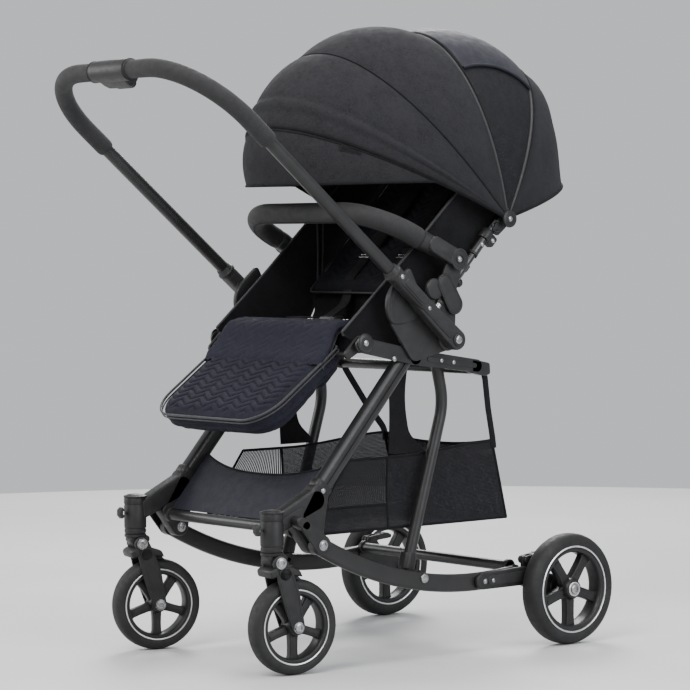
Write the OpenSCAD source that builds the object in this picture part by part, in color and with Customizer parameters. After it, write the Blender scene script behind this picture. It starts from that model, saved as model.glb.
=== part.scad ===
// Folding baby stroller with rocker rails, a flip-over handle and a ribbed canopy.
// Front is -Y, the child's left is +X, and the floor is z = 0.

/* [Wheels] */
// Rear wheel diameter
rear_wheel_d = 190; // [180:1:200]
// Front wheel diameter
front_wheel_d = 155; // [150:1:157]
// Rear tyre width
rear_tyre_w = 37; // [32:1:38]
// Front tyre width
front_tyre_w = 33; // [28:1:33]
// Distance between the middles of the rear wheels
rear_track = 489; // [487:1:496]
// Front axle to rear axle
wheelbase = 560; // [556:1:564]
// Spokes in each wheel
spokes = 5; // [4:1:6]

/* [Chassis] */
// Bend radius of the rocker rails
rail_r = 680; // [670:5:690]
// Middle of each rocker rail, from the centre plane
rail_x = 205; // [204.5:0.1:205.5]
// Middle of each front leg, from the centre plane
front_leg_x = 184; // [183.5:0.1:184.5]
// Middle of each rear leg, from the centre plane
rear_leg_x = 162; // [160:0.5:163]
// Turn of the left front caster about its swivel, degrees
yaw_left = -7; // [-10:1:10]
// Turn of the right front caster about its swivel, degrees
yaw_right = -14; // [-16:1:10]

/* [Handle] */
// Middle of each handle arm, from the centre plane
handle_x = 226; // [226:0.5:230]
// Slope of the handle above level, degrees
handle_slope = 40; // [38:1:42]
// Pivot to the middle of the top bar
handle_len = 685; // [670:5:700]
// Handle tube diameter
handle_d = 22; // [20:1:22]
// Foam grip diameter
grip_d = 30; // [28:1:30]
// Bend radius of the two top corners
handle_bend = 132; // [120:2:140]

/* [Seat and backrest] */
// Slope of the backrest above level, degrees
back_slope = 46.6; // [46:0.2:47]
// Backrest length above its pivot
back_len = 380; // [370:5:390]
// Half width of the seat cushion
cushion_hw = 147; // [140:1:148]
// Tilt of the leg rest below level, degrees
legrest_tilt = 36; // [34:1:38]
// Length of the leg rest pad
legrest_len = 222; // [210:2:230]

/* [Canopy] */
// Radius of the front canopy panel
canopy_r1 = 380; // [378:1:382]
// Radius of the panel between the second and third ribs
canopy_r2 = 345; // [342:1:348]
// Radius of the panel between the third and fourth ribs
canopy_r3 = 328; // [326:1:330]
// Radius of the back panel
canopy_r4 = 268; // [262:1:274]

/* [Hidden] */
$fn = 48;

// Key points in the side view, as [y, z]
rail_bolt = [-233, 206];
leg_low = [-222, 284];
seat_pivot = [-24, 509];
foot = [-16, 134];
handle_pivot = [43, 528];
recline_pivot = [40, 585];
canopy_pivot = [185, 728];
bumper_pivot = [68, 661];
legrest_pivot = [-129, 527];
rear_axle = [wheelbase / 2, rear_wheel_d / 2];
rail_centre = [100, 798];
swivel_x = 190;
trail = 36;
swivel_y = -wheelbase / 2 - trail;
knuckle = [4, 183];
seat_bar_back = [116, 481];
cross_bar = [136, 474];
pedal_pivot = [212, 147];

// Sideways layers on each side, from the centre plane
wing_x = 168;
tube_x = 185;
bar_x = 196;
bumper_x = 190;
hub_x = 201;
clear = 0.5;
run_gap = 0.05;
pin_r = 4;

// Distance from the axles' midpoint to the middle of the object's length
origin_y = 31.4;

black = [0.06, 0.06, 0.065];
charcoal = [0.16, 0.16, 0.17];
navy = [0.08, 0.09, 0.14];
tyre_black = [0.09, 0.09, 0.09];
steel = [0.7, 0.7, 0.72];
cloth = [0.12, 0.12, 0.14];

function along(p, slope, d) = [p[0] + d * cos(slope), p[1] + d * sin(slope)];
function slope_of(p, q) = atan2(q[1] - p[1], q[0] - p[0]);

// Moves everything so that the object's middle stands on the origin.
module place() { translate([0, origin_y, 0]) children(); }

// Draws its children on the left (side 1) or mirrored on the right (side -1).
module on_side(side) {
    if (side > 0) children();
    else mirror([1, 0, 0]) children();
}

// Extrudes a side-view outline of [y, z] points from x0 to x1.
module plate(x0, x1) {
    translate([x0, 0, 0]) rotate([90, 0, 90]) linear_extrude(x1 - x0) children();
}

// A straight bar outline with round ends.
module bar_outline(p, q, r, r2 = 0) {
    hull() {
        translate(p) circle(r, $fn = 32);
        translate(q) circle(r2 > 0 ? r2 : r, $fn = 32);
    }
}

// A round bar along X at the side-view point p.
module pin(p, r, x0, x1) {
    translate([x0, p[0], p[1]]) rotate([0, 90, 0]) cylinder(h = x1 - x0, r = r);
}

// Sweeps an outline about the X axis through p, from an angle above -Y.
module sweep(p, from, to) {
    translate([0, p[0], p[1]]) rotate([0, 90, 0]) rotate([0, 0, -90 - to])
        rotate_extrude(angle = to - from, $fn = 96) children();
}

// A rectangle with cut corners.
module cut_rect(w, h, c) {
    polygon([[-w / 2 + c, -h / 2], [w / 2 - c, -h / 2], [w / 2, -h / 2 + c], [w / 2, h / 2 - c],
             [w / 2 - c, h / 2], [-w / 2 + c, h / 2], [-w / 2, h / 2 - c], [-w / 2, -h / 2 + c]]);
}

// ---------- wheels ----------

// A tyre's outline: a round crown on a straight-sided band.
module tyre_outline(r, w) {
    band = 0.25 * r;
    crown = 0.42 * w;
    polygon(concat(
        [for (a = [-90:15:90]) [r - crown + crown * cos(a), w / 2 * sin(a)]],
        [[r - band, w / 2 * 0.8], [r - band, -w / 2 * 0.8]]));
}

module tyre(r, w) { rotate([0, 90, 0]) rotate_extrude($fn = 96) tyre_outline(r, w); }

// A rim with flat spokes and a hub bored for its axle bolt.
module rim(r, w, bolt_r) {
    rim_r = 0.75 * r;
    rotate([0, 90, 0]) difference() {
        union() {
            translate([0, 0, -w * 0.4]) difference() {
                cylinder(h = w * 0.8, r = rim_r, $fn = 96);
                translate([0, 0, -1]) cylinder(h = w, r = rim_r - 0.065 * r, $fn = 96);
            }
            for (i = [0:spokes - 1]) rotate([0, 0, i * 360 / spokes + 18])
                translate([0, -0.085 * r, -w * 0.22]) cube([rim_r - 0.03 * r, 0.17 * r, w * 0.44]);
            translate([0, 0, -w / 2]) cylinder(h = w, r = 0.19 * r);
        }
        translate([0, 0, -w]) cylinder(h = 2 * w, r = bolt_r + run_gap);
    }
}

module rear_wheel(side) {
    color(black) on_side(side) translate([rear_track / 2, rear_axle[0], rear_axle[1]])
        rim(rear_wheel_d / 2, rear_tyre_w - 3, 5);
}

module rear_tyre(side) {
    color(tyre_black) on_side(side) translate([rear_track / 2, rear_axle[0], rear_axle[1]])
        tyre(rear_wheel_d / 2, rear_tyre_w);
}

// ---------- chassis ----------

module rail(side) {
    tilt0 = asin((rail_bolt[0] - rail_centre[0]) / rail_r);
    tilt1 = asin((187 - rail_centre[0]) / rail_r);
    color(black) on_side(side) difference() {
        union() {
            translate([rail_x, rail_centre[0], rail_centre[1]]) rotate([0, 90, 0])
                rotate([0, 0, tilt0]) rotate_extrude(angle = tilt1 - tilt0, $fn = 96)
                    translate([rail_r, 0]) cut_rect(30, 16, 4);
            pin(rail_bolt, 17, rail_x - 7.4, rail_x + 7.4);
            pin(foot, pin_r, rear_leg_x - 11, rail_x - 7);
        }
        pin(rail_bolt, pin_r + run_gap, 150, 250);
    }
}

module rear_bracket(side) {
    inner = rail_x - 8;
    outer = 222;
    color(black) on_side(side) {
        difference() {
            union() {
                plate(rail_x + 8, outer) bar_outline([108, 119], [200, 121], 14, 16);
                plate(inner, outer) bar_outline([204, 120], rear_axle, 15, 20);
                plate(206.5, 213.5) bar_outline([212, 122], pedal_pivot, 7);
            }
            pin(rear_axle, 5, 190, 230);
        }
        pin(pedal_pivot, 3, 199, 221);
    }
}

module rear_axle_bolts() {
    hub_face = rear_track / 2 + (rear_tyre_w - 3) / 2;
    color(steel) for (side = [1, -1]) on_side(side) {
        pin(rear_axle, 5, rail_x - 8, hub_face + 1);
        pin(rear_axle, 9, hub_face + 0.5, hub_face + 5);
        pin(rear_axle, 8.5, rail_x - 13, rail_x - 8);
    }
}

module rear_cross_tube() {
    color(black) pin([190, 136], 9, -rail_x + 8, rail_x - 8);
}

module chassis_rivets() {
    color(steel) for (side = [1, -1], p = [[112, 119], [130, 119], foot])
        on_side(side) pin(p, 3.5, p == foot ? rail_x + 8 : 222, p == foot ? rail_x + 10 : 224);
}

module brake_pedal(side) {
    color(black) on_side(side) difference() {
        union() {
            for (x = [200, 214.5]) plate(x, x + 5.5) bar_outline(pedal_pivot, [230, 151], 7, 5);
            plate(200, 220) bar_outline([230, 151], [256, 152], 5, 4);
        }
        pin(pedal_pivot, 3 + run_gap, 190, 230);
    }
}

// An open-topped tub of cloth hung between the legs.
module basket() {
    floor_z = 213;
    hw = 146;
    color(navy) {
        difference() {
            plate(-hw, hw) polygon([[-206, floor_z], [230, floor_z], [198, 348], [-120, 336]]);
            plate(-hw + 3, hw - 3) polygon([[-198, floor_z + 3], [226, floor_z + 3],
                [190, 360], [-104, 350]]);
        }
        for (side = [1, -1]) on_side(side)
            plate(140, 146) polygon([[189, 347], [198, 347], [158, 452], [150, 452]]);
    }
}

// ---------- front frame and casters ----------

// The grooved oval tube of a front leg, from its socket to the seat pivot.
module leg_tube(grow = 0) {
    slope = slope_of(leg_low, seat_pivot);
    start = along(leg_low, slope, -22);
    length = norm(seat_pivot - start) + 8;
    translate([front_leg_x, start[0], start[1]]) rotate([slope - 90, 0, 0])
        linear_extrude(length) difference() {
            cut_rect(21, 30, 6);
            translate([10.5, 0]) circle(r = 2.5, $fn = 24);
        }
}

module front_leg(side) { color(black) on_side(side) difference() {
    leg_tube();
    pin(seat_pivot, pin_r + run_gap, 150, 220);
} }

module front_bracket(side) {
    slope = slope_of(leg_low, seat_pivot);
    color(black) on_side(side) difference() {
        union() {
            translate([swivel_x, swivel_y, 200]) cylinder(h = 62, r = 19);
            translate([swivel_x, swivel_y, 262]) cylinder(h = 4, r1 = 19, r2 = 15);
            plate(171, 196.5) hull() {
                translate([swivel_y + 10, 250]) circle(9, $fn = 32);
                translate([swivel_y + 10, 232]) circle(6, $fn = 32);
                translate(along(leg_low, slope, -10)) circle(19, $fn = 32);
            }
            plate(171, 196.5) hull() {
                translate(along(leg_low, slope, 2)) circle(18, $fn = 32);
                translate(rail_bolt) circle(16, $fn = 32);
                translate([-262, 236]) circle(10, $fn = 32);
            }
            plate(196.4, 218) bar_outline([-266, 240], [-276, 246], 9);
            plate(rail_x + 8.5, 218) bar_outline(rail_bolt, [-266, 238], 16, 10);
        }
        leg_tube();
        translate([swivel_x, swivel_y, 190]) cylinder(h = 66, r = 6 + run_gap);
        translate([swivel_x - 3, swivel_y - 25, 226]) cube([6, 19, 14]);
        pin(rail_bolt, pin_r, 160, 230);
    }
}

module front_cross_tube() { color(black) pin([-257, 229], 9, -171, 171); }

module leg_rivets() {
    slope = slope_of(leg_low, seat_pivot);
    color(steel) for (side = [1, -1]) on_side(side) {
        pin(rail_bolt, pin_r, 171, 218);
        pin(rail_bolt, 7, 218, 221);
        pin(rail_bolt, 7, 168, 171);
        pin(along(leg_low, slope, 8), 3.5, 196.5, 198.5);
    }
}

module swivel_lock(side) {
    color(black) on_side(side) translate([swivel_x, swivel_y, 0]) {
        translate([-6, -31, 229]) cube([12, 11, 14]);
        translate([0, -21, 235.5]) rotate([-90, 0, 0]) cylinder(h = 12, r = 2.5);
    }
}

// Puts its children at a caster's swivel, turned by that caster's yaw.
module at_caster(side) {
    translate([side * swivel_x, swivel_y, 0]) rotate([0, 0, side > 0 ? yaw_left : yaw_right])
        children();
}

module caster_head(side) {
    color(black) at_caster(side) difference() {
        union() {
            translate([0, 0, 194]) cylinder(h = 60, r = 6);
            translate([0, 0, 196]) cylinder(h = 3.2, r = 18.5);
            plate(-13, 13) hull() {
                translate([-7, 190]) circle(7, $fn = 32);
                translate(knuckle) circle(12, $fn = 32);
                translate([15, 190]) circle(7, $fn = 32);
            }
        }
        pin(knuckle, pin_r + run_gap, -30, 30);
    }
}

module caster_fork(side) {
    axle = [trail, front_wheel_d / 2];
    half = front_tyre_w / 2 + 1.2;
    color(black) at_caster(side) {
        difference() {
            union() {
                for (s = [1, -1]) on_side(s) {
                    plate(13.5, half + 5) bar_outline(knuckle, [12, 166], 12, 13);
                    plate(half, half + 5) bar_outline([14, 160], axle, 15, 12);
                }
                plate(-half - 5, half + 5) polygon([[-12, 160], [38, 158.5], [38, 166], [-8, 168.5]]);
            }
            pin(knuckle, pin_r, -40, 40);
            pin(axle, pin_r, -40, 40);
        }
        pin(knuckle, pin_r, -half - 5, half + 5);
        pin(axle, pin_r, -half - 5, half + 5);
    }
    color(steel) at_caster(side) for (s = [1, -1], p = [knuckle, axle])
        on_side(s) pin(p, 7, half + 5, half + 8);
}

module front_wheel(side) {
    color(black) at_caster(side) translate([0, trail, front_wheel_d / 2])
        rim(front_wheel_d / 2, front_tyre_w - 1, pin_r);
}

module front_tyre(side) {
    color(tyre_black) at_caster(side) translate([0, trail, front_wheel_d / 2])
        tyre(front_wheel_d / 2, front_tyre_w);
}

// ---------- rear legs ----------

// A bent round tube from the foot pin up to the latch beside the seat bar.
module rear_leg(side) {
    r = 10;
    knee = [72, 420];
    top = [54, 498];
    slope = slope_of(foot, knee);
    bend = 110;
    turn = slope_of(knee, top) - slope;
    reach = bend * tan(turn / 2);
    low_len = norm(knee - foot) - reach;
    knee_in = along(foot, slope, low_len);
    centre = [knee_in[0] - bend * sin(slope), knee_in[1] + bend * cos(slope)];
    knee_out = along(knee, slope + turn, reach);
    color(black) on_side(side) difference() {
        union() {
            translate([rear_leg_x, foot[0], foot[1]]) rotate([slope - 90, 0, 0])
                cylinder(h = low_len + 3, r = r - 0.1);
            translate([rear_leg_x, centre[0], centre[1]]) rotate([0, 90, 0])
                rotate([0, 0, slope]) rotate_extrude(angle = turn, $fn = 96)
                    translate([bend, 0]) circle(r);
            translate([rear_leg_x, knee_out[0], knee_out[1]]) rotate([slope + turn - 90, 0, 0])
                translate([0, 0, -3]) cylinder(h = norm(top - knee_out) + 3, r = r - 0.1);
            pin(foot, 13, rear_leg_x - 11, rail_x - 8 - clear);
        }
        pin(foot, pin_r + run_gap, 140, 200);
    }
}

// ---------- seat ----------

module hub(side) {
    sector_r = 140;
    color(charcoal) on_side(side) {
        difference() {
            union() {
                plate(bar_x + 4, hub_x + 5) hull() {
                    translate(seat_pivot) circle(15, $fn = 32);
                    translate([-54, 566]) circle(14, $fn = 32);
                    translate(recline_pivot) circle(24, $fn = 32);
                    translate(handle_pivot) circle(18, $fn = 32);
                }
                plate(hub_x, hub_x + 11.4) hull() {
                    translate([-62, 574]) circle(12, $fn = 32);
                    for (a = [126:5:152])
                        translate(along(handle_pivot, a, sector_r)) circle(5, $fn = 16);
                }
                plate(bar_x + 0.5, hub_x + 1) bar_outline(recline_pivot, bumper_pivot, 20, 17);
            }
            for (a = [128, 144]) pin(along(handle_pivot, a, sector_r + 3), 6, 190, 220);
        }
        pin(handle_pivot, 7, hub_x + 5, handle_x + 12);
        pin(recline_pivot, 8, tube_x - 8, bar_x + 5);
        pin(bumper_pivot, pin_r, bar_x, 212);
    }
}

module hub_caps() {
    color(charcoal) for (side = [1, -1]) on_side(side)
        plate(hub_x + 5, hub_x + 11.4) hull() {
            translate([36, 621]) circle(17, $fn = 32);
            translate([57, 586]) circle(17, $fn = 32);
        }
}

module seat_frame() {
    front = [-134, 524];
    color(black) difference() {
        union() {
            for (side = [1, -1]) on_side(side) {
                plate(bar_x, bar_x + 4) bar_outline(front, [-20, 500], 13);
                plate(bar_x, bar_x + 4) bar_outline([-20, 500], seat_bar_back, 13, 11);
                plate(bar_x - 14, bar_x + 4) bar_outline(seat_bar_back, cross_bar, 11, 10);
                plate(rear_leg_x + 10.6, bar_x) bar_outline([54, 489], [70, 487], 8);
                pin(seat_pivot, pin_r, front_leg_x - 7, bar_x + 1);
                pin(legrest_pivot, pin_r, 181, bar_x + 1);
            }
            pin(cross_bar, 9, -bar_x + 13, bar_x - 13);
        }
    }
    color(steel) for (side = [1, -1], p = [[-67, 499], [35, 493]])
        on_side(side) pin(p, 3.5, bar_x + 4, bar_x + 6);
}

module seat_cushion() {
    color(cloth) plate(-cushion_hw, cushion_hw) hull() {
        translate([-118, 533]) circle(14, $fn = 24);
        translate([-118, 519]) circle(12, $fn = 24);
        translate([48, 541]) circle(14, $fn = 24);
        translate([48, 520]) circle(12, $fn = 24);
    }
}

module side_panels() {
    color(cloth) for (side = [1, -1]) on_side(side)
        plate(wing_x, wing_x + 4) polygon([[-150, 540], [-156, 546], [-62, 624], [21, 699],
            [46, 640], [46, 560], [58, 530], [20, 520], [-110, 520]]);
}

module harness() {
    color(black) {
        translate([-22, -52, 552.5]) cube([44, 30, 13]);
        translate([-19, -112, 551.5]) cube([38, 62, 3]);
        for (side = [1, -1]) on_side(side) translate([21, -46, 553.5]) cube([118, 24, 3]);
    }
}

// ---------- handle ----------

// Puts its children in the handle's plane: x across, y up the arms from the pivot.
module in_handle() {
    translate([0, handle_pivot[0], handle_pivot[1]]) rotate([0, 0, 180])
        rotate([handle_slope, 0, 0]) children();
}

// The handle's centre line swept at diameter d, from from_s up one arm and down the other.
module handle_loop(d, from_s) {
    corner_s = handle_len - handle_bend;
    for (side = [1, -1]) on_side(side) {
        translate([handle_x, from_s, 0]) rotate([-90, 0, 0])
            cylinder(h = corner_s - from_s, r = d / 2);
        translate([handle_x - handle_bend, corner_s, 0]) rotate_extrude(angle = 90, $fn = 96)
            translate([handle_bend, 0]) circle(d / 2);
    }
    translate([-handle_x + handle_bend, handle_len, 0]) rotate([0, 90, 0])
        cylinder(h = 2 * (handle_x - handle_bend), r = d / 2);
}

module handle_tube() { color(black) in_handle() handle_loop(handle_d, 96); }

module handle_grips() {
    console_hw = 52;
    color(charcoal) in_handle() difference() {
        handle_loop(grip_d, 502);
        handle_loop(handle_d, 400);
        translate([-console_hw, handle_len - 30, -30]) cube([2 * console_hw, 60, 60]);
    }
}

module handle_console() {
    hw = 51.5;
    color(black) in_handle() difference() {
        union() {
            translate([-hw, handle_len, 0]) rotate([0, 90, 0]) cylinder(h = 2 * hw, r = 18);
            translate([-34, handle_len - 30, -12]) cube([68, 30, 24]);
        }
        translate([-60, handle_len, 0]) rotate([0, 90, 0]) cylinder(h = 120, r = handle_d / 2);
        translate([-26, handle_len - 31, -8]) cube([52, 19, 16]);
        translate([-20, handle_len - 7, 12]) cube([40, 14, 10]);
    }
}

module fold_slider() {
    color(charcoal) in_handle() translate([-17, handle_len - 6.5, 12.4]) cube([20, 13, 6.4]);
}

module fold_trigger() {
    color(charcoal) in_handle() translate([-25, handle_len - 38, -7]) cube([50, 19, 14]);
}

module handle_bracket(side) {
    color(charcoal) on_side(side) in_handle_plate() difference() {
        union() {
            translate([0, 0, -13]) linear_extrude(30) hull() {
                translate([0, 96]) square([24, 1], center = true);
                translate([0, 172]) square([26, 1], center = true);
            }
            translate([0, 172, 1]) rotate([-90, 0, 0]) cylinder(h = 14, r = 13);
            translate([0, 0, -11]) linear_extrude(20) hull() {
                circle(17, $fn = 32);
                translate([0, 60]) circle(15, $fn = 32);
                translate([0, 100]) square([24, 1], center = true);
            }
        }
        translate([0, 95.9, 0]) rotate([-90, 0, 0]) cylinder(h = 100, r = handle_d / 2);
        translate([0, 0, -30]) cylinder(h = 60, r = 7 + run_gap);
        translate([-8, 98, 11.4]) cube([16, 70, 20]);
    }
}

// The handle arm's own frame: y up the arm, z outwards, at the middle of the arm.
module in_handle_plate() {
    translate([handle_x, handle_pivot[0], handle_pivot[1]]) rotate([0, 0, 180])
        rotate([handle_slope, 0, 0]) rotate([0, -90, 0]) children();
}

module handle_release(side) {
    color(charcoal) on_side(side) in_handle_plate()
        translate([0, 0, 11.8]) linear_extrude(8) hull() {
            translate([0, 107]) circle(7, $fn = 32);
            translate([0, 150]) circle(7, $fn = 32);
        }
}

// ---------- backrest ----------

// Puts its children in the backrest's plane: x across, y up the back, z towards the child.
module in_back() {
    translate([0, recline_pivot[0], recline_pivot[1]]) rotate([back_slope, 0, 0]) children();
}

module backrest_frame() {
    r = 7;
    bend = 105;
    corner_s = back_len - bend;
    color(steel) in_back() {
        for (side = [1, -1]) on_side(side) {
            translate([tube_x, 20, 0]) rotate([-90, 0, 0]) cylinder(h = corner_s - 20, r = r);
            translate([tube_x - bend, corner_s, 0]) rotate_extrude(angle = 90, $fn = 96)
                translate([bend, 0]) circle(r);
        }
        translate([-tube_x + bend, back_len, 0]) rotate([0, 90, 0])
            cylinder(h = 2 * (tube_x - bend), r = r);
        translate([-tube_x + 2, 84, -13]) cube([2 * tube_x - 4, 16, 6.5]);
    }
    color(black) for (side = [1, -1]) on_side(side) {
        difference() {
            plate(tube_x - 9.5, tube_x + 9.5) hull() {
                translate(recline_pivot) circle(15, $fn = 32);
                translate(along(recline_pivot, back_slope, 40)) circle(10, $fn = 32);
            }
            pin(recline_pivot, 8 + run_gap, 150, 230);
            in_back() translate([tube_x, 20, 0]) rotate([-90, 0, 0]) cylinder(h = 40, r = r);
        }
        plate(tube_x + 6.9, tube_x + 10) bar_outline(canopy_pivot,
            along(canopy_pivot, back_slope, -26), 13, 9);
        pin(canopy_pivot, pin_r, tube_x + 9, 209);
    }
}

module backrest_pad() {
    pad_hw = 161;
    color(cloth) {
        in_back() translate([0, 0, -6]) linear_extrude(26) hull() {
            translate([-pad_hw, 12]) square([2 * pad_hw, 10]);
            for (s = [1, -1]) translate([s * (pad_hw - 80), back_len - 100]) circle(80, $fn = 32);
        }
        for (side = [1, -1]) on_side(side) plate(wing_x - 5, wing_x - clear)
            polygon([along(recline_pivot, back_slope, 20), along(recline_pivot, back_slope, 196),
                [92, 775], [72, 760], [24, 700], [44, 630]]);
    }
}

module recline_lever() {
    color(black) in_back() {
        translate([96, 80, -30]) cube([60, 26, 16.5]);
        translate([126, 93, -46]) cylinder(h = 17, r = 4);
        translate([126, 93, -48]) sphere(r = 8);
    }
}

// ---------- canopy ----------

// Points of a rounded-square outline of half width w and height h, from 16 mm up to its top.
function arch(w, h) = let (n = 2.7, low = asin(pow(16 / h, n / 2)), steps = 16)
    [for (i = [0:steps]) let (a = low + (90 - low) * i / steps)
        [h * pow(sin(a), 2 / n), w * pow(cos(a), 2 / n)]];

// The cross-section of a canopy panel: a shell of thickness t.
module shell_outline(w, h, t) {
    outer = arch(w, h);
    inner = arch(w - t, h - t);
    half = concat(outer, [for (i = [len(inner) - 1:-1:0]) inner[i]]);
    polygon(half);
    mirror([0, 1]) polygon(half);
}

// The space under a canopy panel.
module space_outline(w, h) {
    half = concat([[0, 0], [0, w]], arch(w, h));
    polygon(half);
    mirror([0, 1]) polygon(half);
}

// One canopy panel: a swept shell, left thicker between rib and rib + 1.6, with an eye at each end.
module canopy_panel(w, h, from, to, rib, thick = 5) {
    rib_angle = 1.6;
    difference() {
        union() {
            difference() {
                sweep(canopy_pivot, from, to) shell_outline(w, h, thick);
                if (rib > from) sweep(canopy_pivot, from - 2, rib) space_outline(w - 2, h - 2);
                sweep(canopy_pivot, rib + rib_angle, to + 2) space_outline(w - 2, h - 2);
            }
            for (side = [1, -1]) on_side(side) pin(canopy_pivot, 18, w - 2.3, w + 0.1);
        }
        pin(canopy_pivot, 21, -w + 2.4, w - 2.4);
        pin(canopy_pivot, pin_r + run_gap, -230, 230);
    }
}

// The front panel, cut level along its lower edge where the visor hangs.
module canopy_visor() {
    color(cloth) difference() {
        canopy_panel(206.4, canopy_r1, 9, 48, 23, 2.6);
        plate(-230, 230) polygon([[-260, 640], [-260, 786], [56, 786], [150, 744], [150, 640]]);
    }
}

module canopy_front() { color(cloth) canopy_panel(203.6, canopy_r2, 50, 79, 50); }
module canopy_middle() { color(cloth) canopy_panel(200.8, canopy_r3, 80, 112, 80); }

// The back panel, fixed to the backrest: a high band at its rib and a lower bag behind it.
module canopy_rear() {
    w = 198;
    band_end = 124;
    color(cloth) difference() {
        union() {
            difference() {
                sweep(canopy_pivot, 113, band_end) shell_outline(w, canopy_r3 - 14, 70);
                sweep(canopy_pivot, 111, band_end - 2) space_outline(w - 2, canopy_r3 - 16);
                sweep(canopy_pivot, 111, 160) space_outline(w - 2, canopy_r4 - 2);
            }
            difference() {
                sweep(canopy_pivot, band_end - 1, 160) shell_outline(w - 0.4, canopy_r4, 8);
                sweep(canopy_pivot, band_end - 3, 162) space_outline(w - 2.4, canopy_r4 - 2);
            }
            for (side = [1, -1]) on_side(side) pin(canopy_pivot, 18, w - 2.6, w + 0.1);
        }
        pin(canopy_pivot, 56, -w + 2.8, w - 2.8);
        pin(canopy_pivot, pin_r + run_gap, -230, 230);
    }
}

// ---------- bumper bar and leg rest ----------

bumper_reach = 180;
bumper_rise = 26;
bumper_bend = 95;
foam_end = 80;

// A point on the bumper's arm, d from its pivot.
function on_bumper(d) = along(bumper_pivot, 180 - bumper_rise, d);

// Puts its children in the bumper's plane, with -Y along its arms.
module in_bumper() {
    translate([0, bumper_pivot[0], bumper_pivot[1]]) rotate([-bumper_rise, 0, 0]) children();
}

// The bumper's loop: two arms from start to the bends, joined by a bar across the front.
module bumper_loop(d, start) {
    for (side = [1, -1]) on_side(side) {
        translate([bumper_x, -start, 0]) rotate([90, 0, 0])
            cylinder(h = bumper_reach - bumper_bend - start, r = d / 2);
        translate([bumper_x - bumper_bend, bumper_bend - bumper_reach, 0])
            rotate([0, 0, -90]) rotate_extrude(angle = 90, $fn = 96)
                translate([bumper_bend, 0]) circle(d / 2);
    }
    translate([-bumper_x + bumper_bend, -bumper_reach, 0]) rotate([0, 90, 0])
        cylinder(h = 2 * (bumper_x - bumper_bend), r = d / 2);
}

module bumper_bar() {
    socket = 15;
    color(charcoal) {
        in_bumper() bumper_loop(16, foam_end - 4);
        for (side = [1, -1]) on_side(side) difference() {
            union() {
                plate(bumper_x - 8, 212) bar_outline(on_bumper(foam_end - 16), on_bumper(54), socket);
                plate(hub_x + 1.5, 212) bar_outline(on_bumper(foam_end - 18), bumper_pivot, socket);
            }
            pin(bumper_pivot, pin_r + run_gap, 150, 230);
            in_bumper() translate([bumper_x, 4 - foam_end, 0]) rotate([90, 0, 0])
                cylinder(h = 30, r = 8);
        }
    }
}

module bumper_foam() {
    color(charcoal) in_bumper() difference() {
        bumper_loop(34, foam_end);
        bumper_loop(16, foam_end - 10);
    }
}

// Puts its children in the leg rest's plane: x across, y towards the tip, z up from the pad.
module in_legrest() {
    translate([0, legrest_pivot[0], legrest_pivot[1]]) rotate([0, 0, 180])
        rotate([-legrest_tilt, 0, 0]) children();
}

module legrest_frame() {
    color(black) {
        for (side = [1, -1]) on_side(side) difference() {
            plate(183, 189) bar_outline(legrest_pivot, along(legrest_pivot, 180 + legrest_tilt, 30), 12, 8);
            pin(legrest_pivot, pin_r + run_gap, 140, 220);
        }
        in_legrest() translate([-189, 26, -6]) cube([378, 8, 8]);
    }
}

module legrest_pad() {
    hw = 162;
    corner = 58;
    color(navy) in_legrest() difference() {
        translate([0, 0, -46]) linear_extrude(60) hull() {
            translate([-hw, 18]) square([2 * hw, 10]);
            for (s = [1, -1]) translate([s * (hw - corner), legrest_len - corner])
                circle(corner, $fn = 32);
        }
        translate([-190, 25, -7]) cube([380, 10, 10]);
    }
}

// ---------- drawing ----------

place() {
    rail(1);  // rail_left
    rail(-1);  // rail_right
    rear_bracket(1);  // rear_bracket_left
    rear_bracket(-1);  // rear_bracket_right
    rear_cross_tube();
    basket();
    rear_axle_bolts();
    chassis_rivets();
    rear_wheel(1);  // rear_wheel_left
    rear_tyre(1);  // rear_tyre_left
    rear_wheel(-1);  // rear_wheel_right
    rear_tyre(-1);  // rear_tyre_right
    brake_pedal(1);  // brake_pedal_left
    brake_pedal(-1);  // brake_pedal_right
    front_bracket(1);  // front_bracket_left
    front_bracket(-1);  // front_bracket_right
    front_leg(1);  // front_leg_left
    front_leg(-1);  // front_leg_right
    front_cross_tube();
    leg_rivets();
    swivel_lock(1);  // swivel_lock_left
    swivel_lock(-1);  // swivel_lock_right
    caster_head(1);  // caster_head_left
    caster_head(-1);  // caster_head_right
    caster_fork(1);  // caster_fork_left
    caster_fork(-1);  // caster_fork_right
    front_wheel(1);  // front_wheel_left
    front_tyre(1);  // front_tyre_left
    front_wheel(-1);  // front_wheel_right
    front_tyre(-1);  // front_tyre_right
    rear_leg(1);  // rear_leg_left
    rear_leg(-1);  // rear_leg_right
    hub(1);  // hub_left
    hub(-1);  // hub_right
    hub_caps();
    seat_frame();
    seat_cushion();
    side_panels();
    harness();
    handle_tube();
    handle_grips();
    handle_console();
    fold_slider();
    fold_trigger();
    handle_bracket(1);  // handle_bracket_left
    handle_bracket(-1);  // handle_bracket_right
    handle_release(1);  // handle_release_left
    handle_release(-1);  // handle_release_right
    backrest_frame();
    backrest_pad();
    recline_lever();
    canopy_visor();
    canopy_front();
    canopy_middle();
    canopy_rear();
    bumper_bar();
    bumper_foam();
    legrest_frame();
    legrest_pad();
}
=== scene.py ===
import math

import bmesh
import bpy
import numpy as np
from mathutils import Matrix, Vector


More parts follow.
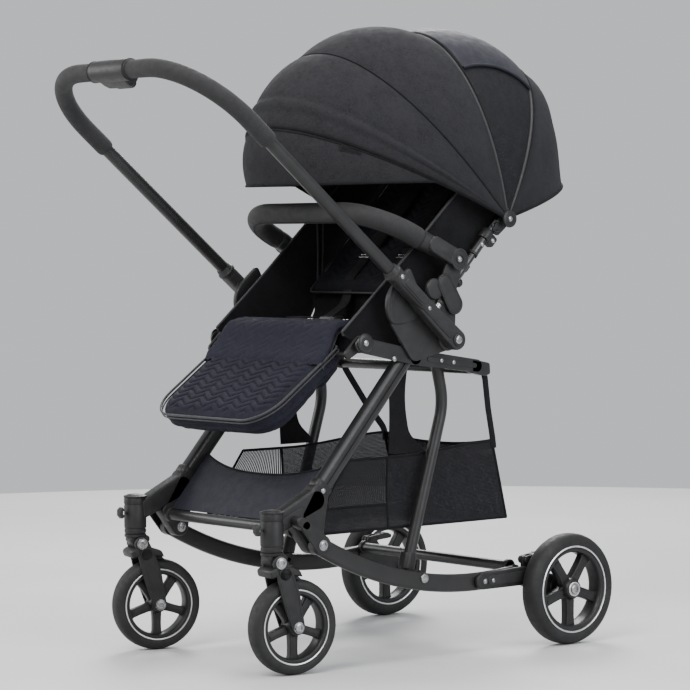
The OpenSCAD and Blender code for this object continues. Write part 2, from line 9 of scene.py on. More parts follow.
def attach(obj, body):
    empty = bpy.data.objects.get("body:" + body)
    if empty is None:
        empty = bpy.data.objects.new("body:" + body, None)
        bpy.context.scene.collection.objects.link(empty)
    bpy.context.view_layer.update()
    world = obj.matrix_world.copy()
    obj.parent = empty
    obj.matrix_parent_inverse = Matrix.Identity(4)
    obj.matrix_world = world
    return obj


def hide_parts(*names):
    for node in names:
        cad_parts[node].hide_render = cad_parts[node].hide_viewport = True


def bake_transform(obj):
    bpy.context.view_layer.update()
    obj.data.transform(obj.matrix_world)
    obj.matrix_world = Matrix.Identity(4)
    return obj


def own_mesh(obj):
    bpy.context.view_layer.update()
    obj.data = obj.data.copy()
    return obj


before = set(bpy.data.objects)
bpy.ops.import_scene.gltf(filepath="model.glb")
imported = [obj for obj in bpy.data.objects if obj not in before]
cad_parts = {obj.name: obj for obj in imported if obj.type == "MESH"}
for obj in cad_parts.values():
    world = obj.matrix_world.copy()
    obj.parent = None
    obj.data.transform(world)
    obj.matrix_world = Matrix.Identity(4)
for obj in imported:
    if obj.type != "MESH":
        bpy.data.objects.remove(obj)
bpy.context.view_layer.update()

# Lengths below are in mm in the CAD's own layout, whose origin is under the middle of the wheelbase.
MID_Y = 31.4
SIDES = {"left": 1, "right": -1}
X = Vector((1, 0, 0))
Y = Vector((0, 1, 0))
Z = Vector((0, 0, 1))

RAIL_BOLT = (-233, 206)
LEG_LOW = (-222, 284)
SEAT_PIVOT = (-24, 509)
FOOT = (-16, 134)
HANDLE_PIVOT = (43, 528)
RECLINE_PIVOT = (40, 585)
CANOPY_PIVOT = (185, 728)
BUMPER_PIVOT = (68, 661)
LEGREST_PIVOT = (-129, 527)
REAR_AXLE = (280, 95)
FRONT_AXLE = (36, 77.5)
RAIL_CENTRE = (100, 798)
KNUCKLE = (4, 183)
RAIL_X, RAIL_RADIUS = 205, 680
REAR_LEG_X = 162
# half width, reach from the pivot and bend radius of the three tubes that are bent into a U
HANDLE_HALF, HANDLE_REACH, HANDLE_BEND = 226, 685, 132
BACK_HALF, BACK_REACH, BACK_BEND = 185, 380, 105
BUMPER_HALF, BUMPER_REACH, BUMPER_BEND = 190, 180, 92
FOAM_START = 80
# the zigzag quilting: its period across the cloth and its swing along it
QUILT_PERIOD, QUILT_SWING = 47, 13
LEGREST_ROWS = 14
SEAT_ROWS = 15
SWIVEL = (190, -316)
YAW = {"left": -7, "right": -14}
HANDLE_SLOPE = 40
BACK_SLOPE = 46.6


def metres(x, y, z):
    """A point of the CAD's layout in mm as a point of the row frame in metres."""
    return Vector((x, y + MID_Y, z)) * 0.001


def along(p, slope, d):
    a = math.radians(slope)
    return (p[0] + d * math.cos(a), p[1] + d * math.sin(a))


def slope_of(p, q):
    return math.degrees(math.atan2(q[1] - p[1], q[0] - p[0]))


def smooth(t):
    t = min(1, max(0, t))
    return t * t * (3 - 2 * t)


# ---------- outlines ----------


def distances(points, scale=1.0):
    """How far along a path each of its points lies."""
    out = [0.0]
    for a, b in zip(points, points[1:]):
        out.append(out[-1] + (Vector(b) - Vector(a)).length * scale)
    return out


def circle(r, n=24, at=(0, 0)):
    return [(at[0] + r * math.cos(2 * math.pi * i / n),
        at[1] + r * math.sin(2 * math.pi * i / n)) for i in range(n)]


def rounded(w, h, r, n=5):
    """A rectangle w by h with corners of radius r, as points."""
    out = []
    for cx, cy, a0 in ((w / 2 - r, h / 2 - r, 0), (-w / 2 + r, h / 2 - r, 90), (-w / 2 + r, -h / 2 + r, 180),
            (w / 2 - r, -h / 2 + r, 270)):
        for i in range(n + 1):
            a = math.radians(a0 + 90 * i / n)
            out.append((cx + r * math.cos(a), cy + r * math.sin(a)))
    return out


def hull(*discs, n=28):
    """The outline round several discs, each (y, z, radius)."""
    pts = sorted({(round(x, 4), round(y, 4)) for d in discs for x, y in circle(d[2], n, d[:2])})

    def bend(a, b, c):
        return (b[0] - a[0]) * (c[1] - a[1]) - (b[1] - a[1]) * (c[0] - a[0])

    def half(points):
        out = []
        for p in points:
            while len(out) > 1 and bend(out[-2], out[-1], p) <= 0:
                out.pop()
            out.append(p)
        return out[:-1]

    return half(pts) + half(pts[::-1])


def soften(points, r, n=5):
    """A closed outline with each corner cut by a curve that starts r before it."""
    out = []
    count = len(points)
    for i in range(count):
        p, a, b = Vector(points[i]), Vector(points[i - 1]), Vector(points[(i + 1) % count])
        da, db = (a - p), (b - p)
        ra, rb = min(r, da.length * 0.45), min(r, db.length * 0.45)
        s, e = p + da.normalized() * ra, p + db.normalized() * rb
        for k in range(n + 1):
            t = k / n
            out.append(tuple((1 - t) ** 2 * s + 2 * t * (1 - t) * p + t * t * e))
    return out


def fillet(points, r, n=8):
    """An open path of points with each inner corner rounded to radius r."""
    pts = [Vector(p) for p in points]
    out = [pts[0]]
    for a, p, b in zip(pts, pts[1:], pts[2:]):
        u, v = (a - p).normalized(), (b - p).normalized()
        half_angle = u.angle(v) / 2
        reach = r / math.tan(half_angle)
        centre = p + (u + v).normalized() * (r / math.sin(half_angle))
        s, e = p + u * reach - centre, p + v * reach - centre
        turn = s.angle(e)
        for k in range(n + 1):
            t = k / n
            out.append(centre + (s * math.sin((1 - t) * turn) + e * math.sin(t * turn)) / math.sin(turn))
    return out + [pts[-1]]


def inset(outline, d):
    """An outline moved inwards by d."""
    n = len(outline)
    area = sum(p[0] * q[1] - q[0] * p[1] for p, q in zip(outline, [*outline[1:], outline[0]]))
    sign = 1 if area > 0 else -1
    out = []
    for i in range(n):
        a, b = Vector(outline[i - 1]), Vector(outline[(i + 1) % n])
        t = (b - a).normalized()
        out.append((outline[i][0] - sign * t.y * d, outline[i][1] + sign * t.x * d))
    return out


# ---------- a piece's mesh ----------


class Shape:
    """The mesh of one piece in mm, with cloth coordinates in metres and a material for each face."""

    def __init__(self):
        self.points, self.uv, self.faces, self.paints = [], [], [], []
        self.paint = 0

    def add(self, points, faces, uv=None, paint=None):
        base = len(self.points)
        self.points += [Vector(p) for p in points]
        self.uv += uv or [(0.0, 0.0)] * len(points)
        self.faces += [[base + i for i in f] for f in faces]
        self.paints += [self.paint if paint is None else paint] * len(faces)
        return self

    def rings(self, rings, loop=False, paint=None):
        """Joins closed rings of points, in order, and caps the ends unless they loop."""
        n, count = len(rings[0]), len(rings)
        points = [p for ring in rings for p in ring]
        lengths = distances([ring[0] for ring in rings], 0.001)
        uv = [(girth, length) for ring, length in zip(rings, lengths) for girth in distances(ring, 0.001)]
        faces = []
        for k in range(count if loop else count - 1):
            a, b = k * n, (k + 1) % count * n
            faces += [[a + i, a + (i + 1) % n, b + (i + 1) % n, b + i] for i in range(n)]
        if not loop:
            faces += [list(range(n))[::-1], [(count - 1) * n + i for i in range(n)]]
        return self.add(points, faces, uv, paint)

    def sweep(self, path, outline, normal=X, scale=None, loop=False, paint=None):
        """Carries an outline (along normal, across it) along a path."""
        path = [Vector(p) for p in path]
        rings = []
        for i, p in enumerate(path):
            before = path[i - 1] if i or loop else p
            after = path[(i + 1) % len(path)] if i + 1 < len(path) or loop else p
            t = (after - before).normalized()
            u = normal[i] if isinstance(normal, list) else normal
            u = (u - t * u.dot(t)).normalized()
            v = t.cross(u)
            s = scale[i] if scale else 1
            su, sv = s if isinstance(s, tuple) else (s, s)
            rings.append([p + u * q[0] * su + v * q[1] * sv for q in outline])
        return self.rings(rings, loop, paint)

    def lathe(self, profile, centre=(0, 0, 0), axis=X, n=48, loop=False, paint=None):
        """Turns a profile of (along axis, radius) points about an axis."""
        axis = axis.normalized()
        u = axis.orthogonal().normalized()
        v = axis.cross(u)
        c = Vector(centre)
        turns = [u * a + v * b for a, b in circle(1, n)]
        return self.rings([[c + axis * x + t * max(r, 0.01) for t in turns] for x, r in profile], loop, paint)

    def plate(self, outline, x0, x1, bevel=1.5, paint=None):
        """A side-view outline as a plate from x0 to x1, with round edges."""
        edge = ((0, 1), (0.08, 0.62), (0.3, 0.29), (1, 0))
        profile = [(x0 + a * bevel, d) for a, d in edge] + [(x1 - a * bevel, d) for a, d in edge[::-1]]
        return self.rings([[(x, y, z) for y, z in inset(outline, bevel * d)] for x, d in profile],
            paint=paint)

    def bolt(self, centre, axis=X, r=6, h=3.5, paint=None, socket=True):
        """A round bolt head with a recessed hexagon."""
        profile = [(-0.5, 0.01), (-0.5, r * 1.25), (0.6, r * 1.25), (0.8, r), (h * 0.75, r), (h, r * 0.8)]
        if socket:
            profile += [(h, r * 0.55), (h * 0.45, r * 0.5), (h * 0.45, 0.01)]
        else:
            profile += [(h * 1.15, r * 0.4), (h * 1.2, 0.01)]
        return self.lathe(profile, centre, axis, 24, paint=paint)

    def ball(self, centre, r, n=24):
        c = Vector(centre)
        rings = []
        for k in range(1, n // 2):
            a = math.pi * k / (n // 2)
            ring = circle(r * math.sin(a), n)
            rings.append([c + Vector((r * math.cos(a), y, z)) for y, z in ring])
        return self.rings(rings)

    def sheet(self, f, nu, nv, thick=1.2, flip=False):
        """A thin cloth: f(u, v) gives its outer face, with u and v from 0 to 1."""
        grid = [[Vector(f(i / nu, k / nv)) for i in range(nu + 1)] for k in range(nv + 1)]
        outer, inner, uv = [], [], []
        across = distances(grid[nv // 2], 0.001)
        down = distances([row[nu // 2] for row in grid], 0.001)
        for k in range(nv + 1):
            for i in range(nu + 1):
                du = grid[k][min(i + 1, nu)] - grid[k][max(i - 1, 0)]
                dv = grid[min(k + 1, nv)][i] - grid[max(k - 1, 0)][i]
                normal = du.cross(dv)
                normal = normal.normalized() if normal.length > 1e-9 else Z
                outer.append(grid[k][i])
                inner.append(grid[k][i] - normal * (-thick if flip else thick))
                uv.append((across[i], down[k]))
        w = nu + 1
        total = len(outer)
        faces = []
        for k in range(nv):
            for i in range(nu):
                a = k * w + i
                faces.append([a, a + 1, a + w + 1, a + w])
                faces.append([total + a, total + a + w, total + a + w + 1, total + a + 1])
        edge = list(range(nu)) + [k * w + nu for k in range(nv)]
        edge += [nv * w + nu - i for i in range(nu)] + [(nv - k) * w for k in range(nv)]
        for a, b in zip(edge, edge[1:] + edge[:1]):
            faces.append([b, a, total + a, total + b])
        if flip:
            faces = [f[::-1] for f in faces]
        return self.add(outer + inner, faces, uv + uv)

    def turned(self, matrix):
        self.points = [matrix @ p for p in self.points]
        return self

    def mirrored(self, side):
        """The same shape for the left side (1), or its mirror image for the right (-1)."""
        if side < 0:
            self.points = [Vector((-p.x, p.y, p.z)) for p in self.points]
            self.faces = [f[::-1] for f in self.faces]
        return self

    def join(self, other):
        base = len(self.points)
        self.points += other.points
        self.uv += other.uv
        self.faces += [[base + i for i in f] for f in other.faces]
        self.paints += other.paints
        return self

    def piece(self, name, body, paints, stands_for=(), sharp=38):
        """Makes the Blender piece, which rides on a body and stands for CAD nodes."""
        mesh = bpy.data.meshes.new(name)
        mesh.from_pydata([metres(*p) for p in self.points], [], self.faces)
        layer = mesh.uv_layers.new(name="cloth")
        for loop in mesh.loops:
            layer.data[loop.index].uv = self.uv[loop.vertex_index]
        for paint in paints:
            mesh.materials.append(MATERIALS[paint])
        mesh.polygons.foreach_set("material_index", self.paints)
        mesh.polygons.foreach_set("use_smooth", [True] * len(mesh.polygons))
        mesh.validate()
        work = bmesh.new()
        work.from_mesh(mesh)
        bmesh.ops.recalc_face_normals(work, faces=work.faces)
        work.to_mesh(mesh)
        work.free()
        mesh.set_sharp_from_angle(angle=math.radians(sharp))
        obj = bpy.data.objects.new(name, mesh)
        bpy.context.scene.collection.objects.link(obj)
        if body:
            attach(obj, body)
        if stands_for:
            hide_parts(*stands_for)
        return obj


# ---------- materials ----------


class Paint:
    """A procedural material, built from the coordinates of the piece or of its cloth."""

    def __init__(self, name, metallic=0.0, **sockets):
        self.mat = bpy.data.materials.new(name)
        self.mat.use_nodes = True
        self.nodes, self.links = self.mat.node_tree.nodes, self.mat.node_tree.links
        self.shader = self.nodes["Principled BSDF"]
        self.shader.inputs["Metallic"].default_value = metallic
        for key, value in sockets.items():
            self.shader.inputs[key.replace("_", " ")].default_value = value
        self.where = self.nodes.new("ShaderNodeTexCoord")

    def node(self, kind, inputs, **settings):
        n = self.nodes.new(kind)
        for key, value in settings.items():
            setattr(n, key, value)
        for key, value in inputs.items():
            if isinstance(value, bpy.types.NodeSocket):
                self.links.new(value, n.inputs[key])
            else:
                n.inputs[key].default_value = value
        return n

    def at(self, stretch=(1, 1, 1), cloth=False):
        source = self.where.outputs["UV" if cloth else "Object"]
        return self.node("ShaderNodeMapping", {"Vector": source, "Scale": stretch}).outputs[0]

    def noise(self, scale, detail=3.0, stretch=(1, 1, 1), cloth=False):
        return self.node("ShaderNodeTexNoise", {"Vector": self.at(stretch, cloth), "Scale": scale,
            "Detail": detail, "Roughness": 0.55}).outputs[0]

    def cells(self, scale):
        return self.node("ShaderNodeTexVoronoi", {"Vector": self.at(), "Scale": scale}).outputs["Distance"]

    def bands(self, pitch, direction="X"):
        """Parallel threads, pitch in metres apart."""
        return self.node(
            "ShaderNodeTexWave",
            {"Vector": self.at(cloth=True), "Scale": 2 * math.pi / (20 * pitch), "Distortion": 0.0},
            wave_type="BANDS",
            bands_direction=direction,
        ).outputs["Fac"]

    def sum(self, a, b, operation="ADD"):
        return self.node("ShaderNodeMath", {0: a, 1: b}, operation=operation).outputs[0]

    def ramp(self, value, *stops):
        """Maps a value from one range to another: ((value, result), ...)."""
        n = self.node("ShaderNodeValToRGB", {"Fac": value})
        n.color_ramp.elements[0].position, n.color_ramp.elements[1].position = stops[0][0], stops[-1][0]
        for s in stops[1:-1]:
            n.color_ramp.elements.new(s[0])
        for element, s in zip(n.color_ramp.elements, stops):
            colour = s[1] if isinstance(s[1], tuple) else (s[1],) * 3
            element.color = (*colour, 1)
        return n.outputs[0]

    def colour(self, value, *stops):
        self.links.new(self.ramp(value, *stops), self.shader.inputs["Base Color"])
        return self

    def rough(self, value, low, high):
        self.links.new(self.ramp(value, (0.3, low), (0.7, high)), self.shader.inputs["Roughness"])
        return self

    def bump(self, height, depth, strength=1.0):
        previous = self.shader.inputs["Normal"].links
        inputs = {"Height": height, "Distance": depth, "Strength": strength}
        if previous:
            inputs["Normal"] = previous[0].from_socket
        self.links.new(self.node("ShaderNodeBump", inputs).outputs[0], self.shader.inputs["Normal"])
        return self

    def holes(self, value, low, high):
        self.links.new(self.ramp(value, (low, 0.0), (high, 1.0)), self.shader.inputs["Alpha"])
        return self


def grey(v, blue=0.0):
    return (v, v, v * (1 + blue))


def moulded(name, dark, light, low, high):
    p = Paint(name, Specular_IOR_Level=0.3)
    p.colour(p.noise(60, 4), (0.35, grey(dark, 0.04)), (0.7, grey(light, 0.04)))
    p.rough(p.noise(180, 4), low, high)
    p.bump(p.cells(1400), 0.00012, 0.5).bump(p.noise(9, 2), 0.0006, 0.25)
    return p


def painted(name):
    p = Paint(name, 0.1, Coat_Weight=0.12, Coat_Roughness=0.3, Specular_IOR_Level=0.35)
    p.colour(p.noise(35, 5), (0.3, grey(0.0095)), (0.75, grey(0.017, 0.06)))
    p.rough(p.noise(420, 5, (1, 1, 1)), 0.3, 0.46)
    p.bump(p.noise(900, 2), 0.00006, 0.5)
    return p


def brushed(name, dark, light, low, high, stretch):
    p = Paint(name, 1.0)
    p.colour(p.noise(300, 4, stretch), (0.3, grey(dark)), (0.7, grey(light, 0.02)))
    p.rough(p.noise(260, 5, stretch), low, high)
    p.bump(p.noise(500, 2, stretch), 0.00004, 0.4)
    return p


def woven(name, dark, light, pitch, blue=0.06, fuzz=0.25, low=0.75, high=0.95, cloth=True, heather=1.0,
        gloss=0.1):
    """Plain-woven cloth with heathered yarns."""
    p = Paint(name, Sheen_Weight=0.2 * fuzz, Sheen_Roughness=0.5, Specular_IOR_Level=gloss)
    p.shader.inputs["Sheen Tint"].default_value = (0.6, 0.6, 0.66, 1)
    warp = p.noise(0.9 / pitch, 2, (1, 0.12, 1) if cloth else (1, 0.2, 0.2), cloth)
    weft = p.noise(0.9 / pitch, 2, (0.12, 1, 1) if cloth else (0.2, 0.2, 1), cloth)
    yarn = p.sum(p.sum(warp, weft, "MULTIPLY"), 2 * heather, "MULTIPLY")
    mottle = p.sum(p.noise(28, 4), 0.5, "MULTIPLY")
    shade = p.sum(yarn, mottle)
    if not cloth:
        # the valleys of the quilting hold less light
        curve = p.node("ShaderNodeNewGeometry", {}).outputs["Pointiness"]
        shade = p.sum(shade, p.sum(p.sum(curve, 0.5, "SUBTRACT"), 5.0, "MULTIPLY"))
    p.colour(shade, (0.3, grey(0.35 * dark, blue)), (0.62, grey((dark + light) / 2, blue)),
        (0.95, grey(light, blue)))
    p.rough(p.noise(70, 3), low, high)
    if cloth:
        threads = p.sum(p.bands(pitch, "X"), p.bands(pitch, "Y"), "MULTIPLY")
    else:
        threads = p.cells(0.8 / pitch)
    p.bump(threads, 0.0003, 0.55).bump(p.noise(16, 3), 0.0025, 0.3)
    return p


def make_materials():
    made = {
        "frame": painted("satin_black_paint"),
        "moulding": moulded("black_moulding", 0.009, 0.016, 0.36, 0.52),
        "charcoal": moulded("charcoal_moulding", 0.014, 0.021, 0.4, 0.56),
        "wheel": moulded("wheel_nylon", 0.009, 0.015, 0.32, 0.46),
        # painted shade: a darker black for the insides of wells and slots, where shade falls
        "recess_painted_shade": moulded("dark_recess_painted_shade", 0.004, 0.008, 0.6, 0.8),
        "steel": brushed("bright_steel", 0.26, 0.4, 0.22, 0.36, (1, 1, 1)),
        "tube": brushed("satin_dark_tube", 0.05, 0.085, 0.28, 0.42, (1, 0.1, 0.1)),
        "ring": brushed("silver_line", 0.6, 0.8, 0.28, 0.4, (1, 1, 1)),
        "canopy": woven("heathered_canopy_cloth", 0.0065, 0.021, 0.0011, 0.12, 0.16, heather=1.2),
        "seat": woven("smooth_seat_cloth", 0.007, 0.013, 0.0007, 0.12, 0.1, heather=0.7),
        "quilt": woven("quilted_cloth", 0.005, 0.013, 0.0008, 0.3, 0.15, cloth=False),
        "navy_quilt": woven("navy_quilted_cloth", 0.006, 0.015, 0.0008, 0.55, 0.15, cloth=False),
        "navy": woven("navy_coated_cloth", 0.0075, 0.015, 0.0006, 0.75, 0.1, 0.5, 0.68, heather=0.6,
            gloss=0.25),
        "binding": woven("bound_edge", 0.005, 0.010, 0.0012, 0.1, 0.2),
        "piping": woven("piping_cord", 0.012, 0.026, 0.0009, 0.08, 0.2, 0.4, 0.6, gloss=0.35),
        "webbing": woven("webbing_tape", 0.007, 0.014, 0.0016, 0.05, 0.15, 0.6, 0.8),
    }
    rubber = Paint("tyre_rubber", Specular_IOR_Level=0.3)
    rubber.colour(rubber.noise(22, 5), (0.3, grey(0.008)), (0.75, grey(0.019, 0.03)))
    rubber.rough(rubber.noise(140, 4), 0.5, 0.72).bump(rubber.cells(900), 0.00022, 0.5)
    made["tyre"] = rubber
    foam = Paint("grip_foam", Sheen_Weight=0.03, Sheen_Roughness=0.6, Specular_IOR_Level=0.25)
    foam.colour(foam.noise(700, 3), (0.3, grey(0.014, 0.04)), (0.75, grey(0.026, 0.05)))
    foam.rough(foam.noise(90, 3), 0.62, 0.85).bump(foam.cells(1100), 0.0003, 0.7).bump(foam.noise(30, 3),
        0.0012, 0.25)
    made["foam"] = foam
    for name, pitch, low, high in (("mesh", 0.0022, 0.0, 0.03), ("sheer", 0.0042, 0.28, 0.42)):
        net = Paint(name + "_netting", Specular_IOR_Level=0.15)
        net.colour(net.noise(240, 3, cloth=True), (0.3, grey(0.008, 0.15)), (0.8, grey(0.022, 0.2)))
        net.rough(net.noise(60, 2), 0.55, 0.75)
        if name == "sheer":
            pattern = net.sum(net.bands(pitch, "X"), net.bands(pitch * 0.4, "Y"), "MAXIMUM")
            net.holes(net.bands(pitch, "X"), 0.35, 0.62)
        else:
            pattern = net.sum(net.bands(pitch, "X"), net.bands(pitch, "Y"), "MULTIPLY")
            net.holes(pattern, low, high)
        net.bump(pattern, 0.0004, 0.6)
        made[name] = net
    return {key: paint.mat for key, paint in made.items()}


MATERIALS = make_materials()

# ---------- wheels ----------


def wheel_parts(r, w, bolt_r):
    """A wheel about the origin with its axle along X: the tyre, and the spoked rim."""
    tyre = Shape()
    tyre.lathe([(-0.40 * w, 0.752 * r), (-0.485 * w, 0.80 * r), (-0.50 * w, 0.87 * r), (-0.47 * w, 0.925 * r),
        (-0.40 * w, 0.962 * r),
                (-0.28 * w, 0.986 * r), (-0.13 * w, 0.998 * r), (0.13 * w, 0.998 * r), (0.28 * w, 0.986 * r),
                    (0.40 * w, 0.962 * r),
                (0.47 * w, 0.925 * r), (0.50 * w, 0.87 * r), (0.485 * w, 0.80 * r), (0.40 * w, 0.752 * r)],
                    n=96, loop=True)
    rim = Shape()
    rim.lathe([(-0.38 * w, 0.67 * r), (-0.43 * w, 0.69 * r), (-0.44 * w, 0.72 * r), (-0.42 * w, 0.753 * r),
        (0.42 * w, 0.753 * r),
               (0.44 * w, 0.72 * r), (0.43 * w, 0.69 * r), (0.38 * w, 0.67 * r), (0.2 * w, 0.655 * r),
                   (-0.2 * w, 0.655 * r)], n=96, loop=True)
    for s in (-1, 1):
        rim.lathe([(s * 0.40 * w, 0.752 * r), (s * 0.475 * w, 0.757 * r), (s * 0.488 * w, 0.771 * r),
            (s * 0.47 * w, 0.785 * r), (s * 0.40 * w, 0.775 * r)], n=96, loop=True, paint=1)
    for i in range(5):
        a = math.radians(270 + 72 * i)
        out = Vector((0, math.cos(a), math.sin(a)))
        path = [out * r * d for d in (0.10, 0.19, 0.28, 0.45, 0.60, 0.69)]
        rim.sweep(path, rounded(0.42 * w, 0.2 * r, 2.2, 3), X,
            [(0.9, 1.1), (0.95, 1.02), (1, 0.92), (1, 0.88), (0.95, 0.95), (0.9, 1.25)])
        for s in (-1, 1):
            rim.sweep([p + X * s * 0.2 * w for p in path[1:5]], rounded(1.6, 0.085 * r, 0.7, 2), X, paint=2)
    rim.lathe([(-0.47 * w, bolt_r), (-0.47 * w, 0.12 * r), (-0.43 * w, 0.165 * r), (-0.3 * w, 0.195 * r),
        (0.3 * w, 0.195 * r),
               (0.43 * w, 0.165 * r), (0.47 * w, 0.12 * r), (0.47 * w, bolt_r)], n=48, loop=True)
    for s in (-1, 1):
        rim.lathe([(s * 0.465 * w, 0.085 * r), (s * 0.485 * w, 0.09 * r), (s * 0.485 * w, 0.125 * r),
            (s * 0.465 * w, 0.13 * r)], n=48, loop=True, paint=1)
    return tyre, rim


def make_wheels():
    for side, s in SIDES.items():
        for end, r, w, bolt_r, middle in (
            ("rear", 95, 37, 5.1, (s * 244.5, *REAR_AXLE)),
            ("front", 77.5, 33, 4.1, (0, *FRONT_AXLE)),
        ):
            tyre, rim = wheel_parts(r, w, bolt_r)
            place = Matrix.Translation(middle)
            if end == "front":
                place = caster_place(side) @ place
            body = f"{end}_wheel_{side}"
            tyre.turned(place).piece(f"{end}_tyre_band_{side}", body, ["tyre"], [f"{end}_tyre_{side}"])
            rim.turned(place).piece(f"{end}_spoked_rim_{side}", body, ["wheel", "ring", "moulding"],
                [f"{end}_wheel_{side}"])


def caster_place(side):
    s = SIDES[side]
    return Matrix.Translation((s * SWIVEL[0], SWIVEL[1], 0)) @ Matrix.Rotation(math.radians(YAW[side]), 4,
        "Z")


# ---------- chassis ----------


def make_rails():
    t0 = math.asin((RAIL_BOLT[0] - RAIL_CENTRE[0]) / RAIL_RADIUS)
    t1 = math.asin((187 - RAIL_CENTRE[0]) / RAIL_RADIUS)
    for side, s in SIDES.items():
        rail = Shape()
        path = []
        for i in range(41):
            t = t0 + (t1 - t0) * i / 40
            path.append((RAIL_X, RAIL_CENTRE[0] + RAIL_RADIUS * math.sin(t),
                RAIL_CENTRE[1] - RAIL_RADIUS * math.cos(t)))
        rail.sweep(path, rounded(16, 30, 6.5, 6), X)
        rail.lathe([(-7.4, 12), (-7.4, 15.5), (-6, 17), (6, 17), (7.4, 15.5), (7.4, 12)],
            (RAIL_X, *RAIL_BOLT))
        rail.lathe([(0, 4), (50, 4)], (151, *FOOT), n=24)
        rail.lathe([(0, 8), (1.8, 7.5), (2.6, 5)], (213, *FOOT), n=24, paint=1)
        rail.mirrored(s).piece(f"rocker_rail_{side}", "root", ["frame", "steel"], [f"rail_{side}"])


def make_rear_brackets():
    for side, s in SIDES.items():
        b = Shape()
        b.plate(hull((108, 119, 14), (200, 121, 16)), 213, 221.5, 2.5)
        b.plate(hull((126, 119.5, 8), (196, 121, 9)), 221.2, 222.6, 0.7, paint=1)
        b.plate(hull((204, 120, 15), (280, 95, 20)), 197, 222, 4)
        b.plate(hull((216, 117, 8), (252, 106, 9)), 221.6, 223.2, 0.8, paint=1)
        b.lathe([(0, 21), (2, 21), (3, 19.5), (3, 13)], (221, *REAR_AXLE))
        b.plate(hull((212, 122, 7), (212, 147, 7)), 206.5, 213.5, 1.2)
        b.lathe([(0, 3), (22, 3)], (199, 212, 147), n=20)
        b.lathe([(0, 17.5), (6, 18), (7, 16)], (194.5, 197, 121), n=40)
        for y in (112, 130):
            b.bolt((221.4, y, 119), X, 3.6, 2, 2, False)
        b.mirrored(s).piece(f"rear_axle_bracket_{side}", "root", ["moulding", "charcoal", "steel"],
            [f"rear_bracket_{side}"])
        p = Shape()
        for x in (200, 214.5):
            p.plate(hull((212, 147, 7), (230, 151, 5)), x, x + 5.5, 1.2)
        p.plate(hull((230, 151, 5), (243, 153, 5.5), (256, 152, 4)), 199, 221, 2)
        for y in (236, 242, 248, 254):
            p.sweep([(201.5, y, 157 - (y - 243) * 0.05), (218.5, y, 157 - (y - 243) * 0.05)],
                rounded(2, 2, 0.8, 2), Z)
        p.mirrored(s).piece(f"brake_lever_{side}", f"brake_pedal_{side}", ["moulding"],
            [f"brake_pedal_{side}"])
    tube = Shape()
    tube.lathe([(-197, 9), (197, 9)], (0, 190, 136), n=32)
    for x in (-1, 1):
        tube.lathe([(x * 197, 12), (x * 190, 12), (x * 189, 9.5)], (0, 190, 136), n=32, paint=1)
    tube.piece("rear_axle_tube", "root", ["frame", "moulding"], ["rear_cross_tube"])
    bolts = Shape()
    for s in SIDES.values():
        bolts.lathe([(s * 192, 5), (s * 262, 5)], (0, *REAR_AXLE), n=24)
        bolts.bolt((s * 262, *REAR_AXLE), X * s, 8.5, 4)
        bolts.lathe([(s * 192, 8.5), (s * 197, 8.5)], (0, *REAR_AXLE), n=6)
    bolts.piece("rear_axle_pins", "root", ["steel"], ["rear_axle_bolts", "chassis_rivets"])


def leg_outline():
    """The front leg's oval section, 21 across and 30 deep, with a groove down its outer face."""
    half = [(10.5, 2.2), (10.5, 6.5), (9.6, 10.5), (7.2, 13.6), (3.2, 15), (-3.2, 15), (-7.2, 13.6),
        (-9.6, 10.5), (-10.5, 6.5), (-10.5, 2.2)]
    groove = [(8.6, 1.5), (8.6, -1.5)]
    return half + [(a, -b) for a, b in half[::-1]] + [groove[1], groove[0]]


